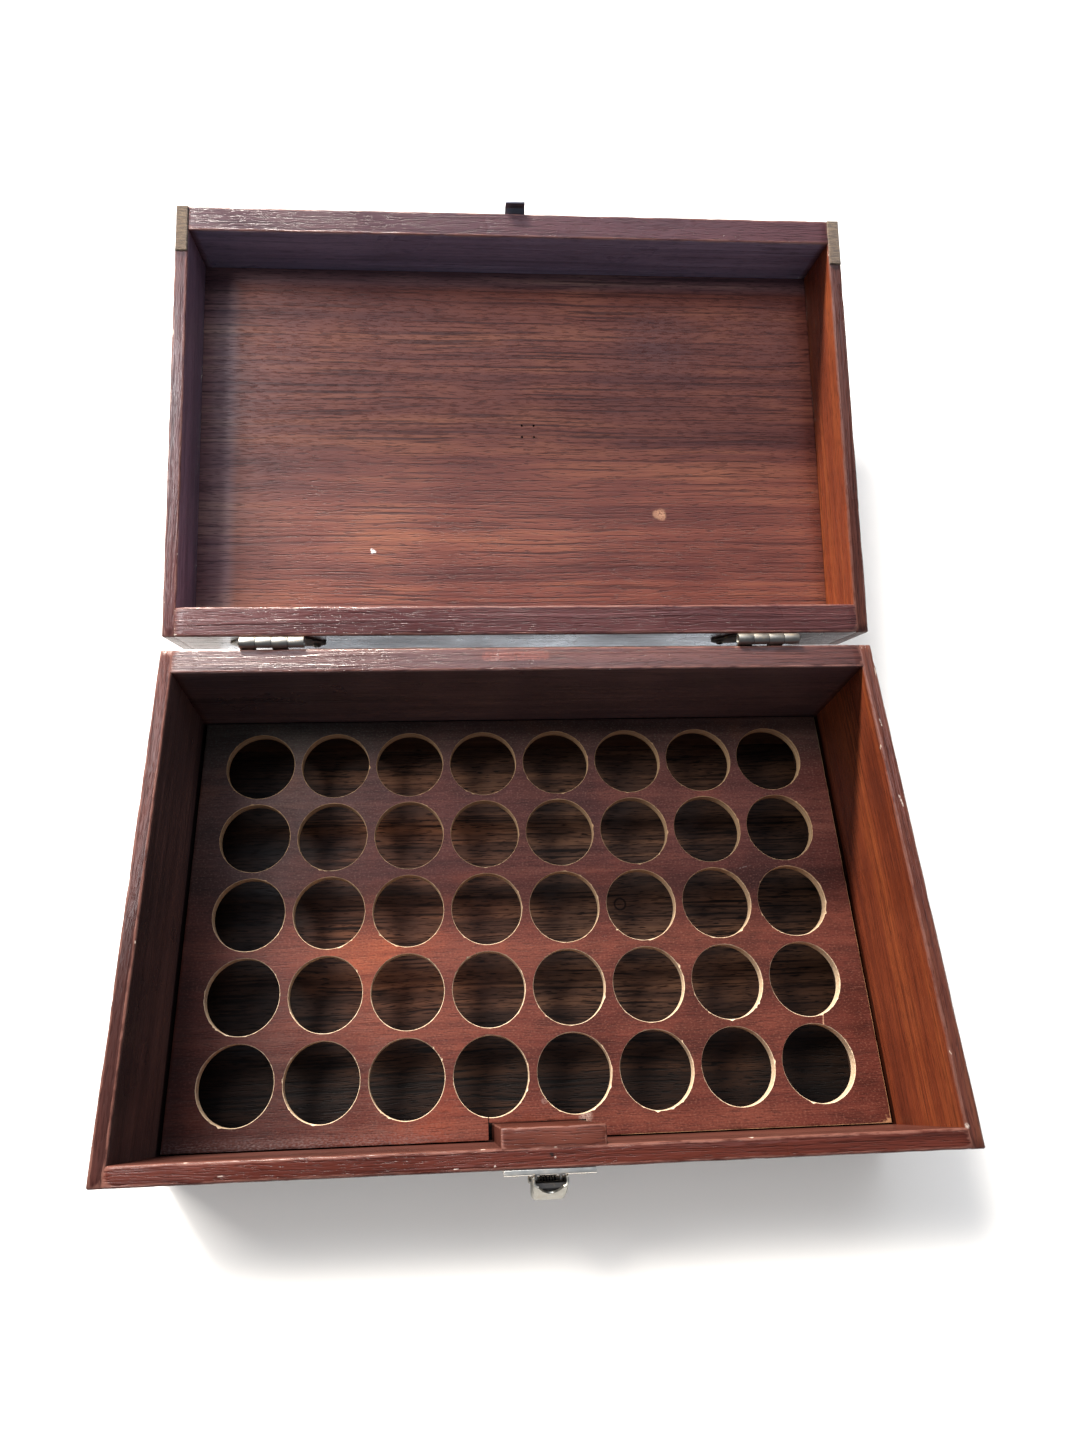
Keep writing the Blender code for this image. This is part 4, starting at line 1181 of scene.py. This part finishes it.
def link_light(light, state, pieces):
    """Lets a light fall on all but the pieces, EXCLUDE, or on them alone, INCLUDE."""
    receivers = bpy.data.collections.new(f"{light.name}_linking")
    for obj in pieces:
        receivers.objects.link(obj)
    for entry in receivers.collection_objects:
        entry.light_linking.link_state = state
    light.light_linking.receiver_collection = receivers


def make_ground():
    bm = bmesh.new()
    bmesh.ops.create_grid(bm, x_segments=1, y_segments=1, size=4.0)
    mesh = mesh_from(bm, "floor")
    ground = linked("floor", mesh)
    ground.location.z = -0.0003
    g = Graph("floor_paper")
    cloud = g.noise(g.place(), scale=3.0)
    g.feed(g.shader.inputs["Base Color"], g.ramp(cloud, [(0.3, (0.90, 0.84, 0.76)), (0.7, (0.92, 0.86, 0.78))]))
    g.shader.inputs["Roughness"].default_value = 0.9
    mesh.materials.append(g.material)
    return ground


def make_lights(ground):
    """The sky and two windows. The photo's background is cut out and white, so the ground has its own lights."""
    world = bpy.data.worlds.new("studio")
    world.use_nodes = True
    background = world.node_tree.nodes["Background"]
    background.inputs["Color"].default_value = (0.68, 0.80, 1.0, 1)
    background.inputs["Strength"].default_value = 0.25
    bpy.context.scene.world = world
    bpy.context.scene.view_settings.view_transform = "Standard"
    area_light("sky", (0, 0.70, 1.45), (0, 0.10, 0.05), (1.4, 0.9), 10.0, (0.76, 0.85, 1.0))
    overhead = area_light("overhead", (-0.52, 0.285, 0.78), (0, 0.08, 0.05), (0.30, 0.28), 7.6, (0.95, 0.97, 1.0))
    window = area_light("window", (-0.60, 1.75, 1.06), (0, 0, 0.06), (0.75, 0.18), 125.0, (1.0, 0.93, 0.85))
    fill = area_light("floor_fill", (-0.45, 0.50, 1.2), (0, 0, 0), (0.30, 0.30), 24.0, (1.0, 1.0, 1.0))
    glow = area_light("floor_glow", (0, 0, 2.0), (0, 0, 0), (2.0, 2.0), 24.0, (0.97, 0.98, 1.0))
    glow.data.use_shadow = False
    gap = area_light("gap_glow", (0, 0.125, 0.004), (0, 0.108, 0.090), (0.30, 0.02), 0.045, (0.85, 0.92, 1.0))
    right_walls = [obj for obj in bpy.data.objects if obj.name.endswith("right_wall_board")]
    link_light(overhead, "EXCLUDE", right_walls)
    link_light(window, "EXCLUDE", [ground])
    link_light(fill, "INCLUDE", [ground])
    link_light(glow, "INCLUDE", [ground])
    link_light(gap, "INCLUDE", [bpy.data.objects["lid_back_wall_board"]])


make_camera()
make_walls()
make_block()
make_floor()
make_lid_panel()
make_pads()
make_board()
make_battens()
nickel = nickel_plate("nickel_plate", 0.35, (0.30, 0.275, 0.235), 0.38)
# A near-black copy of the nickel: painted shade on the hinge leaves and inside the lever.
painted_shade_plate = nickel_plate("tarnished_plate", 0.45, (0.085, 0.075, 0.065))
make_hinges(nickel, painted_shade_plate)
make_screws(nickel)
# A pale copy of the nickel: a painted highlight on the latch plate.
make_latch_plate(nickel_plate("bright_nickel_plate", 0.30, (0.92, 0.84, 0.72), 0.30))
make_lever(nickel_plate("lever_plate", 0.30, (0.29, 0.275, 0.235), 0.36), painted_shade_plate)
make_latch_pin(nickel)
# A near-black spring: painted shade inside the lever.
make_spring(nickel_plate("spring_steel_wire", 0.0, (0.035, 0.035, 0.036)))
# A dark copy of the nickel: painted shade, as the strike stands against the light.
make_strike(nickel_plate("strike_plate", 0.1, (0.13, 0.13, 0.15)))
make_lights(make_ground())
